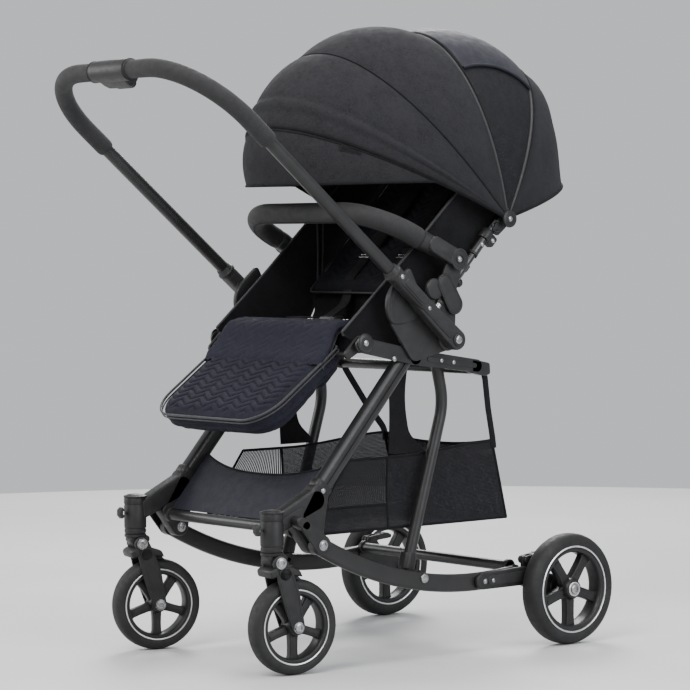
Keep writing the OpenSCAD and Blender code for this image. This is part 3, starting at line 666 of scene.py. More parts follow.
def make_front_frame():
    slope = slope_of(LEG_LOW, SEAT_PIVOT)
    low = along(LEG_LOW, slope, -22)
    top = along(SEAT_PIVOT, slope, 8)
    for side, s in SIDES.items():
        leg = Shape()
        path = [(184, *along(low, slope, d)) for d in (0, 60, 150, 240, 330)] + [(184, *top)]
        leg.sweep(path, leg_outline(), X)
        leg.bolt((194.2, *along(SEAT_PIVOT, slope, -16)), X, 4, 1.5, 1, False)
        leg.mirrored(s).piece(f"front_leg_tube_{side}", "front_frame", ["frame", "steel"],
            [f"front_leg_{side}"], sharp=30)

        b = Shape()
        housing = [(199, 13), (200, 17.5), (203, 18.6), (206, 18.6), (207, 17.8), (209, 17.8), (210, 18.8),
            (246, 19), (248, 18.2), (250, 18.2), (251, 19), (258, 19), (263, 17.4), (266, 13.5), (267, 7)]
        b.lathe([(z, r) for z, r in housing], (190, -316, 0), Z, 48)
        b.lathe([(261, 19.4), (263.5, 19.6), (264.5, 18)], (190, -316, 0), Z, 48)
        b.plate(hull((-306, 250, 9), (-306, 232, 6), (*along(LEG_LOW, slope, -10), 19)), 171, 196.5, 4)
        b.plate(hull((*along(LEG_LOW, slope, 2), 18), (*RAIL_BOLT, 16), (-262, 236, 10)), 171, 196.5, 4)
        b.sweep([(184, *along(LEG_LOW, slope, d)) for d in (8, 10, 20, 22)], rounded(26.5, 37, 9, 6), X,
            [0.94, 1, 1, 0.94])
        b.plate(hull((-266, 240, 9), (-276, 246, 9)), 196, 218, 3)
        b.plate(hull((*RAIL_BOLT, 16), (-266, 238, 10)), 213.6, 218, 1.6)
        b.plate(hull((-300, 246, 4), (-262, 262, 5), (-262, 244, 5)), 196.2, 197.6, 0.7, paint=1)
        b.mirrored(s).piece(f"swivel_housing_{side}", "front_frame", ["moulding", "charcoal"],
            [f"front_bracket_{side}"])

        lock = Shape()
        lock.sweep([(190, -343, 229), (190, -347, 233), (190, -347, 240), (190, -343, 243)],
            rounded(12, 7, 2, 3), X)
        lock.lathe([(0, 2.5), (12, 2.5)], (190, -337, 235.5), Y, 16)
        lock.mirrored(s).piece(f"swivel_lock_button_{side}", f"swivel_lock_{side}", ["charcoal"],
            [f"swivel_lock_{side}"])
    tube = Shape()
    tube.lathe([(-172, 9), (172, 9)], (0, -257, 229), n=32)
    for x in (-1, 1):
        tube.lathe([(x * 172, 12), (x * 165, 12), (x * 164, 9.5)], (0, -257, 229), n=32, paint=1)
    tube.piece("footrest_cross_tube", "front_frame", ["frame", "moulding"], ["front_cross_tube"])
    rivets = Shape()
    for s in SIDES.values():
        rivets.lathe([(s * 171, 4), (s * 218, 4)], (0, *RAIL_BOLT), n=20)
        rivets.bolt((s * 218, *RAIL_BOLT), X * s, 7, 3.4)
        rivets.bolt((s * 171, *RAIL_BOLT), X * -s, 7, 3)
        rivets.bolt((s * 196.4, *along(LEG_LOW, slope, 10)), X * s, 3.6, 2, socket=False)
    rivets.piece("front_frame_bolts", "front_frame", ["steel"], ["leg_rivets"])


def make_casters():
    for side in SIDES:
        place = caster_place(side)
        head = Shape()
        head.lathe([(194, 6), (252, 6)], axis=Z, n=24)
        head.lathe([(193.5, 15), (194, 18), (195, 18.6), (198.4, 18.6), (199.2, 17.5)], axis=Z, n=48)
        head.plate(hull((-7, 190, 7), (*KNUCKLE, 12), (15, 190, 7)), -13, 13, 2.5)
        head.turned(place).piece(f"caster_knuckle_{side}", f"caster_head_{side}", ["moulding"],
            [f"caster_head_{side}"])

        fork = Shape()
        for t in (-1, 1):
            for outline, x0, x1, bevel in (
                (hull((*KNUCKLE, 12.5), (12, 166, 13)), 13.5, 22.7, 2),
                (hull((12, 164, 15), (22, 130, 17), (*FRONT_AXLE, 12)), 17.7, 22.7, 2),
            ):
                side_plate = Shape().plate(outline, x0, x1, bevel)
                fork.join(side_plate.mirrored(t))
            edge = inset(hull((12, 164, 15), (22, 130, 17), (*FRONT_AXLE, 12)), 4)
            fork.sweep([(t * 22.6, y, z) for y, z in edge], circle(0.9, 8), X, loop=True, paint=1)
            fork.bolt((t * 22.6, *KNUCKLE), X * t, 7.5, 3.6, 2)
            fork.bolt((t * 22.6, *FRONT_AXLE), X * t, 7.5, 3.6, 2)
        roof = [(-13, 158), (-17, 170), (-8, 176), (20, 177), (40, 170), (45, 158), (36, 161), (-4, 161)]
        fork.plate(soften(roof, 5), -22.7, 22.7, 3)
        fork.plate(hull((38, 158, 5), (52, 147, 3.5)), -8, 8, 2)
        for p in (KNUCKLE, FRONT_AXLE):
            fork.lathe([(-22, 4), (22, 4)], (0, *p), n=20, paint=2)
        fork.turned(place).piece(f"caster_yoke_{side}", f"caster_fork_{side}",
            ["moulding", "charcoal", "steel"], [f"caster_fork_{side}"])


def make_rear_legs():
    knee, top, bend = (72, 420), (54, 498), 110
    path = fillet([(REAR_LEG_X, *p) for p in (FOOT, knee, top)], bend, 14)
    for side, s in SIDES.items():
        leg = Shape()
        leg.sweep(path, circle(10, 28), X)
        leg.lathe([(151, 9), (151, 12), (152.5, 13), (195, 13), (196.5, 12), (196.5, 9)], (0, *FOOT), n=36,
            paint=1)
        leg.sweep([(REAR_LEG_X, y, z) for y, z in ((-13, 146), (-8, 165), (-6.5, 172))],
            rounded(25, 25, 9, 5), X, [1, 1, 0.9], paint=1)
        leg.mirrored(s).piece(f"rear_leg_tube_{side}", "rear_legs", ["frame", "moulding"],
            [f"rear_leg_{side}"])


# ---------- seat sides, handle and backrest frame ----------


def make_hubs():
    for side, s in SIDES.items():
        hub = Shape()
        hub.plate(hull((*SEAT_PIVOT, 15), (-62, 560, 15), (*RECLINE_PIVOT, 24), (*HANDLE_PIVOT, 18)), 200,
            206, 1.6)
        sector = soften([(-78, 618), (-88, 602), (-90, 584), (-86, 568), (-77, 556), (-50, 557), (-24, 566),
            (-14, 600), (-40, 650)], 8)
        hub.plate(sector, 202, 211, 2.4)
        for r in (65, 58):
            hub.sweep([(211, -20 - r * math.cos(t),
                588 + r * math.sin(t)) for t in [math.radians(-20 + 5 * i) for i in range(11)]],
                rounded(1.6, 3, 0.7, 2), X)
        hub.plate(hull((*RECLINE_PIVOT, 20), (*BUMPER_PIVOT, 17)), 196.5, 202, 1.4)
        hub.lathe([(0, 19), (2.5, 19), (4, 17.5), (4.8, 14), (4.8, 7)], (206, *HANDLE_PIVOT), paint=0)
        hub.lathe([(206, 7), (237, 7), (238, 6)], (0, *HANDLE_PIVOT), n=28, paint=1)
        hub.lathe([(177, 8), (201, 8)], (0, *RECLINE_PIVOT), n=28, paint=1)
        hub.lathe([(196, 4), (212, 4)], (0, *BUMPER_PIVOT), n=20, paint=1)
        # the round housing that bulges beside the oval cap, and the bright latch bolt under it
        hub.lathe([(0, 18), (4, 18), (6.5, 16), (7.4, 11)], (203, 16, 612), paint=0)
        hub.sweep([(208, 12, 572), (208, 24, 588)], circle(5.6, 20), X, paint=1)
        hub.lathe([(-3, 6.2), (-2, 7), (2, 7), (3, 6.2)], (208, 25, 589.5), Vector((0, 12, 16)), 24, paint=2)
        hub.mirrored(s).piece(f"seat_hub_{side}", "seat", ["charcoal", "steel", "moulding"], [f"hub_{side}"])
    caps = Shape()
    for s in SIDES.values():
        cap = Shape()
        outline = hull((36, 622, 16), (57, 586, 17), n=40)
        rings = [(206, 1), (209.5, -0.2), (211.4, 0.4), (212.0, 1.6), (211.6, 2.6), (210.9, 3.2), (211.3, 4),
            (212.0, 8), (212.3, 13)]
        cap.rings([[(x, y, z) for y, z in inset(outline, d)] for x, d in rings])
        caps.join(cap.mirrored(s))
    caps.piece("seat_hub_ovals", "seat", ["charcoal"], ["hub_caps"])


def make_seat_frame():
    frame_bars = Shape()
    for s in SIDES.values():
        bar = Shape()
        bar.plate(hull((-134, 524, 13), (-20, 500, 13)), 196, 200, 1.2)
        bar.plate(hull((-20, 500, 13), (116, 481, 11)), 196, 200, 1.2)
        bar.plate(hull((10, 496, 5), (110, 482, 4)), 199.6, 201.4, 0.8)
        bar.plate(soften([(104, 493.5), (145, 485), (146, 466), (134, 463), (104, 470)], 4), 182, 200, 2)
        bar.plate(hull((54, 489, 8), (70, 487, 8)), 172.6, 196, 1.4)
        bar.sweep([(191, 18, 488), (191, 60, 482), (191, 116, 475)], rounded(9, 10, 3, 3), X)
        bar.lathe([(177, 4), (198, 4)], (0, *SEAT_PIVOT), n=20, paint=1)
        bar.lathe([(181, 4), (198, 4)], (0, *LEGREST_PIVOT), n=20, paint=1)
        bar.lathe([(0, 16), (2.5, 16), (4, 14.5), (4.6, 10), (4.6, 6)], (199.6, *LEGREST_PIVOT), n=40)
        bar.bolt((203.6, *LEGREST_PIVOT), X, 4, 2, 1, False)
        for p in ((-67, 499), (35, 493), (62, 489)):
            bar.bolt((200.6, *p), X, 3.4, 2, 1, False)
        bar.bolt((200, *SEAT_PIVOT), X, 6.5, 3, 1)
        frame_bars.join(bar.mirrored(s))
    frame_bars.lathe([(-183, 9), (183, 9)], (0, 136, 474), n=32)
    frame_bars.piece("seat_side_bars", "seat", ["frame", "steel"], ["seat_frame"])


def placed(origin, u, v, outline, k=1.0, x=0.0):
    """An outline drawn from an origin along u and v, scaled by k and moved x along u."""
    return [origin + u * (x + a * k) + v * (b * k) for a, b in outline]


def u_path(place, half, start, reach):
    """The four corners of a tube bent into a U, in the plane of on_arm, on_back or on_bumper."""
    return [place(half, start), place(half, reach), place(-half, reach), place(-half, start)]


def on_arm(x, s):
    """A point of the handle's plane, s along the arm from its pivot."""
    return Vector((x, *along(HANDLE_PIVOT, 180 - HANDLE_SLOPE, s)))


ARM = Vector((0, -math.cos(math.radians(HANDLE_SLOPE)), math.sin(math.radians(HANDLE_SLOPE))))
ARM_UP = Vector((0, ARM.z, -ARM.y))


def arm_discs(*discs):
    """The side-view outline round discs on the handle's arm, each (distance from the pivot, radius)."""
    return hull(*[(*along(HANDLE_PIVOT, 180 - HANDLE_SLOPE, d), r) for d, r in discs])


def make_handle():
    tube = Shape()
    path = fillet(u_path(on_arm, HANDLE_HALF, 96, HANDLE_REACH), HANDLE_BEND, 20)
    tube.sweep(path, circle(11, 32), ARM_UP)
    tube.piece("handle_main_tube", "handle", ["frame"], ["handle_tube"])

    grips = Shape()
    for s in SIDES.values():
        path = fillet([on_arm(HANDLE_HALF, 502), on_arm(HANDLE_HALF, HANDLE_REACH),
            on_arm(52.5, HANDLE_REACH)], HANDLE_BEND, 24)
        path = [path[0], path[0] + ARM * 3, path[0] + ARM * 8] + path[1:]
        ends = [0.86, 0.955] + [1.0] * (len(path) - 3) + [0.97]
        grip = Shape().sweep(path, circle(15, 36), ARM_UP, ends)
        grips.join(grip.mirrored(s))
    grips.piece("handle_foam", "handle", ["foam"], ["handle_grips"])

    console = Shape()
    top = on_arm(0, HANDLE_REACH)
    half = [(52.4, 12), (52, 15.6), (50, 17), (47, 17.4), (30, 17.8), (0, 18)]
    barrel = [(-x, r) for x, r in half] + half[-2::-1]
    console.rings([placed(top + X * x, ARM, ARM_UP, circle(r, 40)) for x, r in barrel])
    for x in (-49, 49):
        console.lathe([(x - 1.6, 16.4), (x - 1, 17.9), (x + 1, 17.9), (x + 1.6, 16.4)], top, X, 40, loop=True,
            paint=1)
    block = ((-8, 40, 15), (-20, 37, 14), (-27, 34, 12.5), (-30, 31, 10))
    console.rings([placed(top + ARM * d, X, ARM_UP, rounded(2 * w, 2 * t, 7, 5)) for d, w, t in block])
    # the two wells are lined with the darker black of painted shade
    for x in (-31, 12):
        well = ((16.4, 1), (18.4, 1), (18.4, 0.86), (17.2, 0.8))
        console.rings([placed(top + ARM_UP * d, X, ARM, rounded(18, 14, 5, 4), k, x) for d, k in well],
            paint=1)
    console.piece("handle_centre_console", "handle", ["charcoal", "recess_painted_shade"], ["handle_console"])

    slider = Shape()
    button = ((12.4, 1), (17.4, 1), (18.4, 0.93), (18.8, 0.8))
    slider.rings([placed(top + ARM_UP * d, X, ARM, rounded(20, 13, 4, 4), k, -7) for d, k in button])
    for x in (-11, -7, -3):
        slider.sweep([top + ARM_UP * 18.7 + X * x + ARM * d for d in (-3.4, 3.4)], rounded(1, 1.2, 0.4, 2),
            ARM_UP, paint=1)
    slider.piece("thumb_slider", "fold_slider", ["charcoal", "moulding"], ["fold_slider"])

    tab = Shape()
    grip = ((-19.2, 24.6, 7), (-28, 24.8, 7), (-35, 24, 6.4), (-37.4, 22, 5), (-38, 19, 3))
    tab.rings([placed(top + ARM * d, X, ARM_UP, rounded(2 * w, 2 * t, min(5, t), 5)) for d, w, t in grip])
    for x in (-14, -7, 0, 7, 14):
        tab.sweep([top + ARM * -37.9 + X * x + ARM_UP * d for d in (-3, 3)], rounded(1.4, 1.6, 0.5, 2), ARM,
            paint=1)
    tab.piece("squeeze_tab", "fold_trigger", ["charcoal", "moulding"], ["fold_trigger"])

    for side, s in SIDES.items():
        b = Shape()
        b.plate(arm_discs((0, 17), (60, 15), (102, 13)), 215, 235, 3)
        path = [on_arm(228, d) for d in (90, 94, 99, 130, 164, 170, 172)]
        b.sweep(path, rounded(30, 25, 10, 6), X, [0.72, 0.9, 1, 1.02, 1.04, 1, 0.96])
        b.lathe([(170, 12), (171, 15.4), (174, 16), (177, 15.6), (178.5, 14), (184, 13), (186, 12)],
            on_arm(227, 0), ARM, 44)
        face = arm_discs((22, 10), (92, 9))
        b.plate(face, 234.6, 236.8, 1)
        b.plate(inset(face, 3), 236.5, 237.3, 0.5, paint=0)
        frame_of_well = arm_discs((104, 9.4), (156, 9.4))
        b.plate(frame_of_well, 240.4, 243.8, 1.2)
        b.lathe([(0, 11), (1.5, 11), (2.2, 10), (2.2, 7.5)], (234.8, *HANDLE_PIVOT), X, 32, paint=2)
        b.bolt((235.4, *HANDLE_PIVOT), X, 6.2, 3.2, 1)
        b.bolt((243.2, *along(HANDLE_PIVOT, 180 - HANDLE_SLOPE, 166)), X, 3, 1.7, 1, False)
        b.bolt((236.4, *along(HANDLE_PIVOT, 180 - HANDLE_SLOPE, 84)), X, 3.4, 2, 1, False)
        b.mirrored(s).piece(f"handle_latch_arm_{side}", "handle", ["charcoal", "steel", "moulding"],
            [f"handle_bracket_{side}"])
        t = Shape()
        t.plate(arm_discs((107, 7), (150, 7)), 237.8, 245.8, 2.2)
        for d in (112, 117, 122, 127):
            y, z = along(HANDLE_PIVOT, 180 - HANDLE_SLOPE, d)
            t.sweep([(245.8, y - 3 * ARM_UP.y, z - 3 * ARM_UP.z),
                (245.8, y + 3 * ARM_UP.y, z + 3 * ARM_UP.z)], rounded(1, 1.4, 0.4, 2), X, paint=1)
        t.mirrored(s).piece(f"handle_latch_trigger_{side}", f"handle_release_{side}",
            ["charcoal", "moulding"], [f"handle_release_{side}"])


BACK = Vector((0, math.cos(math.radians(BACK_SLOPE)), math.sin(math.radians(BACK_SLOPE))))
BACK_OUT = Vector((0, -BACK.z, BACK.y))


def on_back(x, d, z=0):
    """A point of the backrest: x across, d up from the recline pivot, z out towards the child."""
    return Vector((x, *RECLINE_PIVOT)) + BACK * d + BACK_OUT * z


def make_backrest_frame():
    tube = Shape()
    path = fillet(u_path(on_back, BACK_HALF, 20, BACK_REACH), BACK_BEND, 16)
    tube.sweep(path, circle(7, 28), BACK_OUT)
    for s in SIDES.values():
        part = Shape()
        part.lathe([(116, 7), (116.5, 8.6), (119, 8.8), (148, 8.4), (149, 7.2)], on_back(BACK_HALF, 0), BACK,
            32, paint=0)
        part.lathe([(114, 7), (114, 9.2), (118, 9.2), (118, 7)], on_back(BACK_HALF, 0), BACK, 32, paint=1)
        part.lathe([(150, 7), (150, 10.2), (152, 10.8), (166, 10.8), (168, 10.2), (168, 7)],
            on_back(BACK_HALF, 0), BACK, 32, paint=1)
        clamp = [on_back(BACK_HALF, d, -14) for d in (150, 152, 166, 168)]
        part.sweep(clamp, rounded(16, 15, 3.5, 3), X, [0.85, 1, 1, 0.85], paint=1)
        part.bolt(on_back(BACK_HALF, 159, -14) + X * 7.6, X, 3.2, 2, 2, False)
        part.bolt(on_back(193.2, 138), X, 2.8, 1.6, 2, False)
        lug = hull((*RECLINE_PIVOT, 15), (*along(RECLINE_PIVOT, BACK_SLOPE, 40), 10))
        part.plate(lug, 175.6, 194.4, 2.5, paint=1)
        part.plate(hull((*CANOPY_PIVOT, 13), (*along(CANOPY_PIVOT, BACK_SLOPE, -26), 9)), 191.8, 195, 1,
            paint=1)
        part.lathe([(193, 4), (209, 4)], (0, *CANOPY_PIVOT), n=20, paint=1)
        hook = [(197, *along((163, 716), 60 + 27 * i, 9)) for i in range(10)]
        part.sweep(hook, circle(1.8, 12), X, paint=1)
        part.sweep([(191, 158, 707), (195, 160, 708), (197, 162, 708)], circle(1.8, 12), Z, paint=1)
        tube.join(part.mirrored(s))
    tube.sweep([on_back(x, 92, -9.8) for x in (-183, -181, 181, 183)], rounded(6.5, 16, 2.4, 4), BACK_OUT,
        [0.8, 1, 1, 0.8], paint=1)
    tube.piece("backrest_tube_loop", "backrest", ["tube", "moulding", "steel"], ["backrest_frame"])

    lever = Shape()
    for a, (x0, x1, d0, d1, z0, z1, r) in enumerate(((98, 154, 80.5, 105.5, -29.5, -13.8, 4),
            (110, 142, 76, 84, -26, -16, 3))):
        lever.sweep([on_back(x, (d0 + d1) / 2, (z0 + z1) / 2) for x in (x0 - 2, x0, x1, x1 + 2)],
            rounded(z1 - z0, d1 - d0, r, 4), BACK_OUT, [0.82, 1, 1, 0.82])
    c = on_back(126, 93, 0)
    lever.lathe([(-28, 6), (-31, 5), (-34, 3.8), (-41, 3.6), (-44, 4.6)], c, BACK_OUT, 28)
    lever.ball(c + BACK_OUT * -48, 8, n=28)
    lever.lathe([(-49, 8.3), (-48, 8.6), (-47, 8.3)], c, BACK_OUT, 32, paint=1)
    lever.piece("recline_pull", "recline_lever", ["moulding", "charcoal"], ["recline_lever"])


BUMPER_RISE = 26
BUMPER_OUT = Vector((0, -math.cos(math.radians(BUMPER_RISE)), math.sin(math.radians(BUMPER_RISE))))


def on_bumper(x, d):
    """A point of the bumper's plane, d along the arm from its pivot."""
    return Vector((x, *BUMPER_PIVOT)) + BUMPER_OUT * d


def make_bumper():
    foam = Shape()
    over = X.cross(BUMPER_OUT)
    path = fillet(u_path(on_bumper, BUMPER_HALF, FOAM_START, BUMPER_REACH), BUMPER_BEND, 22)
    first, last = path[0], path[-1]
    loop = [first, first + BUMPER_OUT * 2, first + BUMPER_OUT * 5] + path[1:-1]
    loop += [last + BUMPER_OUT * 5, last + BUMPER_OUT * 2, last]
    ends = [0.84, 0.95] + [1] * (len(loop) - 4) + [0.95, 0.84]
    foam.sweep(loop, circle(17.6, 40), over, ends)
    under = over if over.z < 0 else -over
    foam.sweep([p + under * 17.4 for p in path[1:-1]], circle(0.8, 8), over, paint=1)
    foam.piece("bumper_foam_cover", "bumper", ["foam", "binding"], ["bumper_foam"])
    arms = Shape()
    for s in SIDES.values():
        a = Shape()
        path = [on_bumper(x, d) for x, d in ((190, 82), (190, 80), (191, 70), (195, 52), (199, 34), (202, 20),
            (203, 12))]
        a.sweep(path, rounded(34, 32, 15, 7), X, [0.9, 1.03, 1.03, 0.97, 0.86, 0.72, 0.5])
        a.plate(hull((*along(BUMPER_PIVOT, 180 - BUMPER_RISE, 56), 14.6), (*BUMPER_PIVOT, 15)), 203, 212, 3.4)
        a.lathe([(0, 18.2), (1.2, 18.2), (1.8, 17.4), (1.8, 15.5), (1, 15)], (210.4, *BUMPER_PIVOT), n=40)
        a.lathe([(0, 8.2), (1.4, 8.2), (2, 7.4), (2, 5.8), (0.6, 5.4)], (211.4, *BUMPER_PIVOT), n=32, paint=1)
        a.bolt((211.4, *BUMPER_PIVOT), X, 4, 2.4, 2, False)
        arms.join(a.mirrored(s))
    arms.piece("bumper_end_arms", "bumper", ["charcoal", "moulding", "steel"], ["bumper_bar"])


# ---------- padded pieces ----------


def applied(obj):
    """Applies every modifier to the mesh."""
    bpy.context.view_layer.update()
    graph = bpy.context.evaluated_depsgraph_get()
    mesh = bpy.data.meshes.new_from_object(obj.evaluated_get(graph))
    obj.modifiers.clear()
    obj.data = mesh
    return obj


def puff(obj, cap, voxel=0.005, pressure=4.0):
    """Remeshes a closed pad, inflates it as cloth by up to cap metres, and subdivides it."""
    remesh = obj.modifiers.new("Remesh", "REMESH")
    remesh.mode, remesh.voxel_size = "VOXEL", voxel
    applied(obj)
    start = [v.co.copy() for v in obj.data.vertices]
    cloth = obj.modifiers.new("Cloth", "CLOTH")
    settings = cloth.settings
    settings.use_pressure = True
    settings.uniform_pressure_force = pressure
    settings.quality = 4
    settings.tension_stiffness = settings.compression_stiffness = 18
    settings.bending_stiffness = 0.6
    settings.effector_weights.gravity = 0
    cloth.collision_settings.use_collision = False
    cloth.collision_settings.use_self_collision = False
    scene = bpy.context.scene
    for number in range(1, 19):
        scene.frame_set(number)
    applied(obj)
    scene.frame_set(1)
    for v, old in zip(obj.data.vertices, start):
        step = v.co - old
        if step.length > cap:
            v.co = old + step * (cap / step.length)
    calm = obj.modifiers.new("Smooth", "SMOOTH")
    calm.factor, calm.iterations = 0.5, 2
    applied(obj)
    finer = obj.modifiers.new("Subdivision", "SUBSURF")
    finer.levels = finer.render_levels = 1
    applied(obj)
    obj.data.polygons.foreach_set("use_smooth", [True] * len(obj.data.polygons))
    return obj


def pillow(outline, z0, z1, place, soft=12.0, dome=0.0):
    """A flat pad with round edges, as a Shape: an outline in its own plane, from z0 to z1."""
    shape = Shape()
    mid = (z0 + z1) / 2
    rings = []
    for z, d in ((z0 - dome, soft * 2.2), (z0 - dome * 0.5, soft), (z0, soft * 0.55),
            (z0 + (mid - z0) * 0.3, soft * 0.18), (mid, 0),
                 (z1 - (z1 - mid) * 0.3, soft * 0.18), (z1, soft * 0.55), (z1 + dome * 0.5, soft),
                     (z1 + dome, soft * 2.2)):
        rings.append([(x, y, z) for x, y in inset(outline, d)])
    return shape.rings(rings).turned(place)


def chevrons(obj, place, pitch, depth, inside):
    """Presses rows of zigzag stitching into the side of a pad that faces along its own +z."""
    mesh = obj.data
    count = len(mesh.vertices)
    co, normal = np.empty(count * 3), np.empty(count * 3)
    mesh.vertices.foreach_get("co", co)
    mesh.vertices.foreach_get("normal", normal)
    co, normal = co.reshape(-1, 3), normal.reshape(-1, 3)
    back = np.array(place.inverted())
    local = (co * 1000 - np.array((0, MID_Y, 0))) @ back[:3, :3].T + back[:3, 3]
    turned = normal @ np.array(place.to_3x3() @ Z)
    share = inside(local[:, 0], local[:, 1]) * ease((turned - 0.35) / 0.3)
    phase = np.abs((local[:, 0] / QUILT_PERIOD) % 1 - 0.5) * 2
    puffed = np.abs(np.sin(np.pi * (local[:, 1] + QUILT_SWING * phase) / pitch)) ** 0.6
    co += normal * (depth * (puffed - 0.75) * share / 1000)[:, None]
    mesh.vertices.foreach_set("co", co.ravel())
    mesh.update()


def ease(t):
    """Smooth step on an array."""
    t = np.clip(t, 0, 1)
    return t * t * (3 - 2 * t)


def border(outline, width):
    """How far inside an outline points are, from 0 at its edge to 1 at width inside."""
    pts = np.array([tuple(p) for p in outline])

    def share(x, y):
        nearest, crossings = np.full(x.shape, 1e9), np.zeros(x.shape, int)
        for (ax, ay), (bx, by) in zip(pts, np.roll(pts, -1, 0)):
            span = max((bx - ax) ** 2 + (by - ay) ** 2, 1e-9)
            t = np.clip(((x - ax) * (bx - ax) + (y - ay) * (by - ay)) / span, 0, 1)
            nearest = np.minimum(nearest, np.hypot(x - ax - t * (bx - ax), y - ay - t * (by - ay)))
            if ay != by:
                crossings += ((ay > y) != (by > y)) & (x < (bx - ax) * (y - ay) / (by - ay) + ax)
        return np.where(crossings % 2, ease(nearest / width), 0.0)

    return share


def basis(origin, x, y, z):
    m = Matrix((x, y, z)).transposed().to_4x4()
    m.translation = origin
    return m


def make_legrest():
    tilt = math.radians(36)
    place = basis(Vector((0, *LEGREST_PIVOT)), -X, Vector((0, -math.cos(tilt), -math.sin(tilt))),
        Vector((0, -math.sin(tilt), math.cos(tilt))))
    hw, corner, length = 158, 60, 219
    outline = hull((-hw + 12, 30, 12), (hw - 12, 30, 12), (-hw + corner, length - corner, corner),
        (hw - corner, length - corner, corner), n=48)
    pad = Shape()
    rings = []
    for z, d in ((-40, 52), (-39, 34), (-33, 17), (-22, 7), (-10, 2), (-2, 0.5), (5, 2), (8.5, 6), (9.5, 14)):
        rings.append([(x, y, z + (6 if z < -20 else 0) * (1 - smooth((y - 20) / 90))) for x,
            y in inset(outline, d)])
    pad.rings(rings).turned(place)
    obj = puff(pad.piece("legrest_padded_cover", None, ["navy_quilt"], ["legrest_pad"]), 0.004, 0.005, 3.5)
    local = place.inverted()
    for v in obj.data.vertices:
        p = local @ (Vector(v.co) * 1000 - Vector((0, MID_Y, 0)))
        if p.z < -4:
            # soft folds that run round the slack underside
            wave = math.sin(p.z * 0.42 + 1.7 * math.sin(p.x * 0.021) + p.y * 0.012)
            wave += 0.5 * math.sin(p.z * 0.23 + p.x * 0.034 + 1.3)
            v.co += v.normal * 0.0011 * wave * smooth((-4 - p.z) / 12)
    chevrons(obj, place, LEGREST_ROWS, 3.8, border(inset(outline, 13), 10))
    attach(obj, "legrest")
    cord = Shape()
    for d, z, r in ((1.0, 7.5, 2.1), (0.2, 1.5, 1.3)):
        cord.sweep([(x, y, z) for x, y in inset(outline, d)], circle(r, 10), Z, loop=True)
    cord.turned(place).piece("legrest_piping", "legrest", ["piping"])
    frame_piece = Shape()
    for s in SIDES.values():
        arm = Shape()
        arm.plate(hull((*LEGREST_PIVOT, 12), (*along(LEGREST_PIVOT, 216, 30), 8)), 183, 189, 1.4)
        frame_piece.join(arm.mirrored(s))
    bar = Shape().sweep([(x, 30, -2) for x in (-188, -186, 186, 188)], rounded(7.6, 7.6, 2, 4), Z,
        [0.85, 1, 1, 0.85]).turned(place)
    frame_piece.join(bar)
    frame_piece.piece("legrest_arms", "legrest", ["moulding"], ["legrest_frame"])


def quilted_row(across, along_cloth, pitch, depth):
    """The height of zigzag quilting at a place on the cloth."""
    phase = abs((across / QUILT_PERIOD) % 1 - 0.5) * 2
    return depth * (abs(math.sin(math.pi * (along_cloth + QUILT_SWING * phase) / pitch)) ** 0.6 - 0.75)


def profile_at(points, lengths, s):
    """The place at distance s along a side-view profile, and the direction away from the cushion there."""
    for a, b, start in zip(points, points[1:], lengths):
        span = (Vector(b) - Vector(a)).length
        if s <= start + span or b == points[-1]:
            t = (s - start) / span
            run = (Vector(b) - Vector(a)).normalized()
            return Vector(a).lerp(Vector(b), t), Vector((run.y, -run.x))


def make_knee_cover():
    """The quilted cover that runs over the seat's front edge onto the leg rest."""
    corners = [(-70, 551), (-124, 554), (-147, 549), (-167, 517), (-190, 492)]
    points = [(p.x, p.y) for p in fillet([Vector((y, z, 0)) for y, z in corners], 20, 6)]
    lengths = distances(points)
    total, matched = lengths[-1], 69

    def cover(u, v):
        place, out = profile_at(points, lengths, v * total)
        half = 147 + 9 * smooth((v - 0.45) / 0.5)
        x = half * (2 * u - 1)
        edge = smooth(min(u, 1 - u) * 2 * half / 16) * smooth(v / 0.08)
        tuck = 4 * smooth((v - 0.93) / 0.07)
        lift = quilted_row(-x, matched - total + v * total, LEGREST_ROWS,
            3.6) * edge - 7 * (1 - smooth(min(u, 1 - u) * 2 * half / 9)) - tuck
        return (x, place[0] + out.x * lift, place[1] + out.y * lift)

    strip = Shape().sheet(cover, 168, 72, 9)
    obj = strip.piece("seat_front_quilted_cover", None, ["navy_quilt"])
    cords = Shape()
    for u in (0.004, 0.996):
        cords.sweep([Vector(cover(u, 0.12 + 0.88 * i / 40)) for i in range(41)], circle(2.1, 10), X)
    cords = cords.piece("seat_front_piping", None, ["piping"])
    for o in (obj, cords):
        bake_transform(o)


def make_seat_back_joint():
    """The cloth that closes the corner between the cushion and the backrest."""
    points = [(30, 550), (48, 554), (55, 570), (54, 590), (56, 612), (64, 630)]

    def face(u, v):
        k = v * (len(points) - 1)
        i = min(int(k), len(points) - 2)
        a, b = Vector(points[i]), Vector(points[i + 1])
        p = a.lerp(b, k - i)
        return (164 * (2 * u - 1), p.x + 1.2 * math.sin(23 * u + 3 * v), p.y)

    obj = Shape().sheet(face, 40, 24, 2).piece("seat_back_joint_cloth", None, ["seat"])
    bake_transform(obj)


